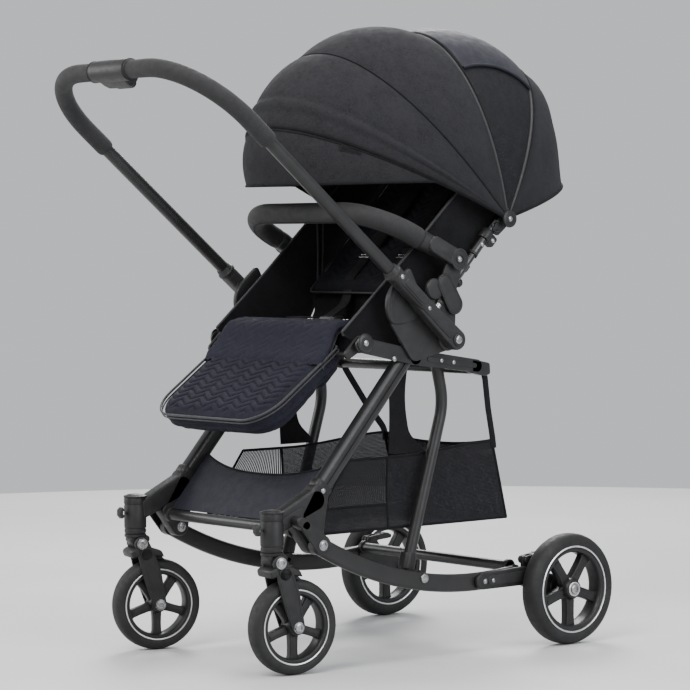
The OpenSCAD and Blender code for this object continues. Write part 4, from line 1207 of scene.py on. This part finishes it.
def make_seat_pads():
    flat = basis(Vector((0, 0, 0)), X, Y, Z)
    outline = soften([(-146, -131), (146, -131), (146, 60), (-146, 60)], 34, 8)
    pad = pillow(outline, 512, 548, flat, 9, 3)
    obj = puff(pad.piece("seat_cushion_pad", None, ["quilt"], ["seat_cushion"]), 0.003, 0.0055, 3)
    chevrons(obj, flat, SEAT_ROWS, 2.2, border(inset(outline, 14), 10))
    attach(obj, "seat")
    edge = Shape().sweep([(x, y, 545) for x, y in inset(outline, 1.5)], circle(1.8, 10), Z, loop=True)
    edge.piece("seat_cushion_piping", "seat", ["piping"])

    place = basis(Vector((0, *RECLINE_PIVOT)), X, BACK, BACK_OUT)
    outline = hull((-150, 22, 10), (150, 22, 10), (-81, 296, 78), (81, 296, 78), n=48)
    pad = pillow(outline, -4.5, 14.5, place, 6.5, 3)
    obj = puff(pad.piece("backrest_padded_liner", None, ["quilt"]), 0.004, 0.0055, 3)
    chevrons(obj, place, SEAT_ROWS, 2.4, border(inset(outline, 20), 12))
    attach(obj, "backrest")
    edge = Shape().sweep([(x, y, 12) for x, y in inset(outline, 1)], circle(2, 10), Z,
        loop=True).turned(place)
    edge.piece("backrest_piping", "backrest", ["piping"])
    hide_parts("backrest_pad")


WING_TOP = [(-154, 545), (-100, 592), (-50, 636), (0, 682), (48, 727), (98, 772), (150, 822), (196, 866)]


def make_wings():
    """The cloth sides of the seat, from the cushion up to the canopy and back to the backrest."""
    low = [(-150, 539), (-112, 521), (-50, 520), (18, 520), (52, 560), (84, 626), (160, 706), (250, 800)]
    for side, s in SIDES.items():
        def face(u, v):
            k = u * (len(low) - 1)
            i = min(int(k), len(low) - 2)
            t = k - i
            a = Vector(low[i]).lerp(Vector(low[i + 1]), t)
            b = Vector(WING_TOP[i]).lerp(Vector(WING_TOP[i + 1]), t)
            p = a.lerp(b, v)
            sag = (2.2 * math.sin(math.pi * u) + 0.7 * math.sin(9 * u + 5 * v)) * math.sin(math.pi * v)
            return (171 - sag - 2 * smooth((u - 0.5) / 0.2) - 14 * smooth((u - 0.78) / 0.22) * v, p[0], p[1])

        wing = Shape().sheet(face, 48, 28, 2.2)
        obj = wing.mirrored(s).piece(f"seat_side_cloth_{side}", None, ["seat"],
            ["side_panels"] if s > 0 else [])
        top = [Vector(face(i / 48, 1)) for i in range(49)]
        bound = Shape().sweep(top, circle(2.3, 12), X)
        front = [Vector(face(0, i / 8)) for i in range(9)]
        bound.sweep(front, circle(1.8, 10), X)
        for u, sink, r in ((0.62, 3.5, 2), (0.66, 3.0, 1.6)):
            seam = [Vector(face(u, 0.05 + 0.95 * i / 20)) - X * sink for i in range(21)]
            bound.sweep(seam, circle(r, 10), X)
        trim = bound.mirrored(s).piece(f"seat_side_binding_{side}", None, ["piping"])
        for o in (obj, trim):
            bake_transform(o)


def make_harness():
    buckle = Shape()
    top = Vector((0, -37, 552.5))
    body = ((0, 0.9), (1.5, 1), (9, 1), (11.5, 0.94), (12.6, 0.8))
    buckle.rings([placed(top + Z * z, X, Y, rounded(43, 29, 8, 6), k) for z, k in body])
    button = ((12.2, 9), (13.2, 9), (13.2, 7.6), (12.4, 6.4))
    buckle.rings([placed(top + Z * z, X, Y, circle(r, 28)) for z, r in button], paint=1)
    # the tongues take the darker black of painted shade where they enter the buckle
    for x in (-1, 1):
        tongue = [top + Vector((x * a, b, 6)) for a, b in ((19, 0), (21, 0), (31, 3), (33, 3))]
        buckle.sweep(tongue, rounded(6, 24, 2.4, 4), Z, [0.9, 1, 1, 0.9], paint=2)
    buckle.piece("harness_buckle", "seat", ["moulding", "charcoal", "recess_painted_shade"], ["harness"])
    straps = Shape()
    straps.sweep([(0, -114, 553.6), (0, -108, 554.6), (0, -80, 555.8), (0, -50, 556)],
        rounded(2.4, 37, 1.1, 3), Z)
    for s in SIDES.values():
        waist = Shape()
        waist.sweep([(30, -34, 557.5), (60, -32, 557), (100, -30, 557), (130, -24, 557), (138, -14, 557.5)],
            rounded(2.4, 25, 1.1, 3), Z)
        waist.sweep([(64, -32, 559), (66, -32, 560), (116, -27, 560), (118, -27, 559)],
            rounded(5, 34, 2.2, 4), Z, [0.8, 1, 1, 0.8])
        for x in (44, 52):
            waist.sweep([(x - 2, -46, 559.6), (x - 2, -20, 559.6), (x + 2, -20, 559.6), (x + 2, -46, 559.6)],
                rounded(1.8, 1.8, 0.7, 2), Z, loop=True, paint=1)
        straps.join(waist.mirrored(s))
    straps.piece("harness_waist_straps", "seat", ["webbing", "steel"])
    for side, s in SIDES.items():
        strap = Shape()
        path = [on_back(44, 300, 20), on_back(44, 250, 22), on_back(44, 180, 23), on_back(47, 110, 23),
            on_back(52, 66, 24), on_back(56, 40, 24), (56, 40, 585), (52, 4, 566), (44, -18, 561)]
        path = fillet(path, 30, 3)
        outwards = [X.cross(b - a).normalized() * -1 for a, b in zip(path[:1] + path, path[1:] + path[-1:])]
        strap.sweep(path, rounded(2.2, 24, 1, 3), outwards)
        pad_path = [on_back(44 + 0.02 * (240 - d), d, 25.5) for d in (238, 234, 200, 150, 112, 108)]
        strap.sweep(pad_path, rounded(7, 40, 3.2, 5), BACK_OUT, [0.75, 1, 1, 1, 1, 0.75], paint=1)
        for d in (84, 90):
            strap.sweep([on_back(50 - 15, d, 25.8), on_back(50 + 15, d, 25.8)], rounded(2, 2.4, 0.8, 2),
                BACK_OUT, paint=2)
        obj = strap.mirrored(s).piece(f"harness_shoulder_strap_{side}", None, ["webbing", "seat", "steel"])
        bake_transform(obj)


# ---------- canopy ----------

ARCH = 2.2
RIBS = [(23.5, 392, 204), (48, 378, 203), (80, 325, 202), (118, 315, 200)]
VISOR_Z = 787


def canopy_point(phi, height, width, u, lift=0.0):
    """A point of the canopy: phi above -Y about its pivot, u from 0 at the right base to 1 at the left."""
    low = 0.002
    th = math.pi * (low + (1 - 2 * low) * u)
    c, s = math.cos(th), math.sin(th)
    h = (height + lift) * s ** (2 / ARCH)
    x = -(width + lift * 0.4) * math.copysign(abs(c) ** (2 / ARCH), c)
    a = math.radians(phi)
    return Vector((x, CANOPY_PIVOT[0] - h * math.cos(a), CANOPY_PIVOT[1] + h * math.sin(a)))


def spread(u):
    """Spaces points more evenly round the arch."""
    return u - 0.055 * math.sin(4 * math.pi * u) / 1.4


def span_point(a, b, u, v, bulge):
    """The cloth between ribs a and b; v runs from a to b."""
    swell = 4 * v * (1 - v)
    phi = a[0] + (b[0] - a[0]) * v
    height = a[1] + (b[1] - a[1]) * v + bulge * swell ** 0.8
    width = a[2] + (b[2] - a[2]) * v + 2.5 * swell
    return canopy_point(phi, height, width, spread(u))


def rib_cord(shape, rib, r, lift=0.0, shift=0.0, paint=0):
    """Adds a cord along a rib, lifted out and shifted in degrees."""
    path = [canopy_point(rib[0] + shift, rib[1], rib[2], spread(i / 72), lift) for i in range(73)]
    return shape.sweep(path, circle(r, 12), Vector((0, math.sin(math.radians(rib[0])),
        math.cos(math.radians(rib[0])))), paint=paint)


def make_canopy():
    hw = 64
    r1, r2, r3, r4 = RIBS
    # the hanging visor in front of the first rib
    def visor(u, v):
        rib_point = canopy_point(*r1, spread(u))
        h = math.hypot(rib_point.y - CANOPY_PIVOT[0], rib_point.z - CANOPY_PIVOT[1])
        drop = VISOR_Z - CANOPY_PIVOT[1]
        floor = math.degrees(math.asin(min(drop / (0.94 * h), math.sin(math.radians(r1[0] - 0.6)))))
        phi = floor + (r1[0] - floor) * v
        back = (r1[0] - phi) / 13.5
        swell = 5 * math.sin(math.pi * min(1, back)) * smooth((h - 120) / 150)
        return canopy_point(phi, r1[1] * (1 - 0.062 * back ** 1.2), r1[2], spread(u), swell)

    front = Shape().sheet(visor, hw + 16, 14, 2.0)
    obj = front.piece("canopy_visor_cloth", "canopy_a", ["canopy"], ["canopy_visor"])
    hem = Shape()
    hem.sweep([visor(i / 96, 0) for i in range(97)], circle(2.2, 10), X)
    hem = hem.piece("canopy_visor_hem", "canopy_a", ["binding"])
    girth(r1)
    # the dark cords along the first rib are partly the seam's binding and partly a painted shadow under the
    # visor's edge, the thin one sunk into the cloth
    first = Shape()
    rib_cord(first, r1, 3.4, 0.3)
    rib_cord(first, r1, 1.8, -0.4, -1.0)
    first.piece("canopy_first_rib", "canopy_a", ["binding"])
    tag = Shape()
    place = canopy_point(r1[0] - 1.2, r1[1], r1[2], 0.70, 2.4)
    ahead = canopy_point(r1[0] - 1.2, r1[1], r1[2], 0.78, 2.4)
    run = (ahead - place).normalized()
    rise = (canopy_point(r1[0] + 3, r1[1], r1[2], 0.74) - canopy_point(r1[0] - 3, r1[1], r1[2],
        0.74)).normalized()
    tag.sweep([place + run * d - rise * 4 for d in (0, 1, 39, 40)], rounded(1.4, 11, 0.6, 3), run.cross(rise),
        [0.9, 1, 1, 0.9])
    tag.sweep([place + run * d - rise * 4 + run.cross(rise) * 0.9 for d in (3, 37)], rounded(0.5, 6, 0.2, 2),
        run.cross(rise), paint=1)
    tag.piece("canopy_blank_tag", "canopy_a", ["webbing", "binding"])

    # the long front span, with a sewn rib tunnel near its front edge
    def first_span(u, v):
        p = span_point(r1, r2, u, v, 13)
        tunnel = sum(h * math.exp(-((v - at) / w) ** 2) for at, w,
            h in ((0.24, 0.055, 3.2), (0.32, 0.02, -1.6), (0.16, 0.02, -1.6)))
        towards = (p - Vector((0, *CANOPY_PIVOT))).normalized()
        return p + towards * tunnel * smooth((min(u, 1 - u) - 0.06) / 0.12)

    def plain_span(a, b, bulge):
        return lambda u, v: span_point(a, b, u, v, bulge)

    spans = (
        ("canopy_front_cloth", first_span, r1, r2, "canopy_b", "canopy_a", "canopy_front", "canopy", 36),
        ("canopy_middle_cloth", plain_span(r2, r3, 13), r2, r3, "canopy_c", "canopy_b", "canopy_middle",
            "canopy", 26),
        ("canopy_window_netting", plain_span(r3, r4, 9), r3, r4, "backrest", "canopy_c", None, "mesh", 26),
    )
    for name, f, a, b, back_body, front_body, node, paint, rows in spans:
        obj = Shape().sheet(f, hw, rows, 1.6).piece(name, None, [paint], [node] if node else [])
        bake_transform(obj)
        girth(a)
        girth_of_span(f)

    # the opaque flap over the window, rolled up part of the way on both sides
    def flap(u, v):
        edge = 0.27
        uu = edge + (1 - 2 * edge) * u
        p = span_point(r3, r4, uu, 0.03 + 0.94 * v, 9)
        return p + (p - Vector((0, *CANOPY_PIVOT))).normalized() * 3.4

    cover = Shape().sheet(flap, 44, 20, 1.6)
    cover = cover.piece("canopy_window_flap", None, ["navy"])
    rolls = Shape()
    for u in (0, 1):
        rolls.sweep([flap(u, i / 20) for i in range(21)], circle(2.8, 12), X)
    rolls = rolls.piece("canopy_flap_hem", None, ["navy"])
    for o in (cover, rolls):
        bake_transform(o)
    girth_of_span(flap)

    second = Shape()
    rib_cord(second, r2, 1.9, 0.4)
    second.piece("canopy_second_rib", "canopy_b", ["binding"])
    # each double piping below is two like cords, the forward one in the lighter piping cloth and the rear one
    # in the darker binding: painted light and painted shade
    third = Shape()
    rib_cord(third, r3, 2.6, 1.6, -0.55, 1)
    rib_cord(third, r3, 2.6, 1.6, 0.75)
    third.piece("canopy_third_rib", "canopy_c", ["binding", "piping"])
    fourth = Shape()
    rib_cord(fourth, r4, 2.8, 1.6, -0.6, 1)
    rib_cord(fourth, r4, 2.8, 1.6, 1.0)
    fourth.piece("canopy_fourth_rib", "backrest", ["binding", "piping"])

    # the back panel hangs from the fourth rib and is drawn in under the backrest
    def rear(u, v):
        phi = r4[0] + 46 * v
        top = r4[1] + 7 * math.sin(math.pi * min(1, v * 2.4)) * (1 if v < 0.42 else 0)
        height = top - 52 * smooth((v - 0.12) / 0.88) - 6 * v
        return canopy_point(phi, height, r4[2] - 5 * v, spread(u))

    obj = Shape().sheet(rear, hw, 26, 1.6).piece("canopy_back_cloth", "backrest", ["canopy"], ["canopy_rear"])
    hem = Shape()
    hem.sweep([rear(i / 72, 1) for i in range(73)], circle(2.4, 10), X)
    hem = hem.piece("canopy_back_hem", "backrest", ["binding"])
    girth(r4)
    girth_of_span(rear)
    pivots = Shape()
    for s in SIDES.values():
        p = Shape()
        p.lathe([(200, 4), (204, 14), (206, 15), (208.4, 14.4), (209.6, 11), (209.8, 5), (208.6, 4.4)],
            (0, *CANOPY_PIVOT), n=40)
        p.bolt((208.4, *CANOPY_PIVOT), X, 4, 2.2, 1, False)
        pivots.join(p.mirrored(s))
    pivots.piece("canopy_pivot_caps", "backrest", ["moulding", "steel"])


def girth(rib):
    pts = [canopy_point(*rib, spread(i / 60)) for i in range(61)]
    return sum((b - a).length for a, b in zip(pts, pts[1:])) / 1000


def girth_of_span(f):
    pts = [Vector(f(0.5, i / 20)) for i in range(21)]
    return sum((b - a).length for a, b in zip(pts, pts[1:])) / 1000


# ---------- basket ----------


def make_basket():
    floor_z, top_z = 214, 345
    slope = slope_of(LEG_LOW, SEAT_PIVOT)

    # front panel, stretched between the front legs
    def front(u, v):
        x = 170 * (2 * u - 1)
        dip = 1 - abs(2 * u - 1) ** 2.4
        d = -46 + v * (118 - 30 * dip)
        y, z = along(LEG_LOW, slope, d)
        billow = 5 * math.sin(math.pi * v) * math.sin(math.pi * u)
        return (x, y - billow - 2, z - 10 + billow * 0.4)

    panel = Shape().sheet(front, 48, 20, 1.6)
    obj = panel.piece("basket_front_panel", "front_frame", ["navy"])
    hem = Shape()
    hem.sweep([front(i / 48, 1) for i in range(49)], circle(2, 10), Y)
    hem = hem.piece("basket_front_hem", "front_frame", ["binding"])

    post_y, split = -36, 0.36

    def side_face(x_of):
        def f(u, v):
            front_y, rear_y = -206 + 86 * v, 230 - 32 * v
            ahead, behind = min(u / split, 1), max((u - split) / (1 - split), 0)
            y = front_y + (post_y - front_y) * ahead + (rear_y - post_y) * behind
            rim_z = 332 + 16 * smooth((y + 20) / 220)
            return (x_of - 3.5 * math.sin(math.pi * v) * math.sin(math.pi * u), y,
                floor_z + (rim_z - floor_z) * v)
        return f

    pieces = []
    for side, s in SIDES.items():
        f = side_face(144.5)
        net = Shape().sheet(lambda u, v: f(split * u, 0.34 + 0.66 * v), 20, 12, 1.0)
        net = net.mirrored(s).piece(f"basket_sheer_side_{side}", "root", ["sheer"])
        dense = Shape().sheet(lambda u, v: f(split + (1 - split) * u, v), 30, 16, 1.0)
        dense.sheet(lambda u, v: f(split * u, 0.34 * v), 20, 5, 1.0)
        dense = dense.mirrored(s).piece(f"basket_net_side_{side}", "root", ["mesh"],
            ["basket"] if s > 0 else [])
        trim = Shape()
        for path in ([f(i / 40, 1) for i in range(41)], [f(0, i / 10) for i in range(11)],
                [f(1, i / 10) for i in range(11)], [f(i / 40, 0) for i in range(41)],
                     [f(split * i / 20, 0.34) for i in range(21)], [f(split, i / 10) for i in range(11)]):
            trim.sweep(path, rounded(2.4, 4.6, 1.1, 3), X)

        def strap(u, v):
            wide = 42 - 8 * math.sin(math.pi * min(1, v / 0.75)) + 30 * smooth((v - 0.72) / 0.28)
            return (146 + 3 * math.sin(math.pi * v), post_y + wide * u, 480 - 142 * v)

        trim.sheet(strap, 8, 20, 1.4)
        corner = [f(1, 0.9), Vector(f(1, 1)) + Vector((0, 1, 6)), (166, 170, 405), (187, 144, 462),
            (187, 140, 470)]
        trim.sweep(fillet(corner, 40, 4), rounded(1.8, 13, 0.8, 3), X)
        trim = trim.mirrored(s).piece(f"basket_binding_{side}", "root", ["binding"])
        pieces += [net, dense, trim]

    def floor(u, v):
        return (145 * (2 * u - 1), -206 + 436 * v,
            floor_z + 1 - 4 * math.sin(math.pi * u) * math.sin(math.pi * v))

    def rear(u, v):
        x = 145 * (2 * u - 1)
        dip = 1 - abs(2 * u - 1) ** 2.2
        return (x, 230 - 32 * v + 3 * math.sin(math.pi * u) * math.sin(math.pi * v),
            floor_z + (top_z + 4 - floor_z - 12 * dip) * v)

    ends = Shape().sheet(rear, 36, 14, 1.0)
    ends = ends.piece("basket_rear_net", "root", ["mesh"])
    base = Shape().sheet(floor, 30, 36, 1.6, flip=True)
    base = base.piece("basket_floor_cloth", "root", ["navy"])
    rim = Shape()
    for path in ([rear(i / 36, 1) for i in range(37)], [rear(i / 36, 0) for i in range(37)]):
        rim.sweep(path, rounded(2.6, 4.6, 1.1, 3), Y)
    rim = rim.piece("basket_rear_binding", "root", ["binding"])
    for o in pieces + [ends, rim]:
        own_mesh(o)


# ---------- the object, the studio and the camera ----------


def make_studio():
    mesh = bpy.data.meshes.new("studio_floor")
    rim = [(x, y, 0) for x, y in circle(3, 120)]
    mesh.from_pydata(rim, [], [range(120)])
    floor = bpy.data.objects.new("studio_floor", mesh)
    bpy.context.scene.collection.objects.link(floor)
    pale = Paint("pale_floor")
    pale.colour(pale.noise(1.2, 3), (0.3, grey(0.50, 0.01)), (0.7, grey(0.56, 0.01)))
    pale.rough(pale.noise(3, 3), 0.5, 0.62)
    mesh.materials.append(pale.mat)
    for name, place, aim, size, power, tint in (
        ("key", (1.2, -3.2, 3.4), (0, 0, 0.5), 2.6, 190, (1, 0.99, 0.97)),
        ("fill", (3.4, 0.4, 1.8), (0, 0, 0.5), 2.8, 95, (0.96, 0.98, 1)),
        ("rim", (-2.4, 2.0, 2.6), (0, 0, 0.7), 1.8, 110, (1, 1, 1)),
        ("top", (0.2, 0.6, 3.6), (0, 0, 0.6), 2.4, 80, (1, 1, 1)),
        ("left", (-2.8, -2.2, 1.6), (0, 0, 0.5), 2.0, 60, (1, 1, 1)),
    ):
        data = bpy.data.lights.new(name, "AREA")
        data.shape, data.size, data.energy, data.color = "DISK", size, power, tint
        lamp = bpy.data.objects.new(name, data)
        lamp.location = place
        lamp.rotation_euler = (Vector(aim) - Vector(place)).to_track_quat("-Z", "Y").to_euler()
        bpy.context.scene.collection.objects.link(lamp)
    world = bpy.data.worlds.new("studio")
    world.use_nodes = True
    world.node_tree.nodes["Background"].inputs["Color"].default_value = (0.86, 0.88, 0.9, 1)
    world.node_tree.nodes["Background"].inputs["Strength"].default_value = 0.75
    bpy.context.scene.world = world


def make_camera():
    azimuth, elevation, tilt, distance, focal_length = 50.929, 2.343, -0.445, 4.8173, 146.55
    target = Vector((-0.0105, MID_Y / 1000, 0.5142))
    a, e, roll = (math.radians(v) for v in (azimuth, elevation, tilt))
    back = Vector((math.sin(a) * math.cos(e), -math.cos(a) * math.cos(e), math.sin(e)))
    right = Vector((math.cos(a), math.sin(a), 0))
    up = back.cross(right)
    right, up = right * math.cos(roll) + up * math.sin(roll), up * math.cos(roll) - right * math.sin(roll)
    data = bpy.data.cameras.new("photo_view")
    data.lens, data.sensor_width = focal_length, 36
    camera = bpy.data.objects.new("photo_view", data)
    m = Matrix((right, up, back)).transposed().to_4x4()
    m.translation = target + back * distance
    camera.matrix_world = m
    bpy.context.scene.collection.objects.link(camera)
    bpy.context.scene.camera = camera


for make in (
    make_camera, make_wheels, make_rails, make_rear_brackets, make_front_frame, make_casters,
    make_rear_legs, make_hubs, make_seat_frame, make_handle, make_backrest_frame, make_bumper,
    make_legrest, make_knee_cover, make_seat_back_joint, make_seat_pads, make_wings, make_harness,
    make_canopy, make_basket, make_studio,
):
    make()
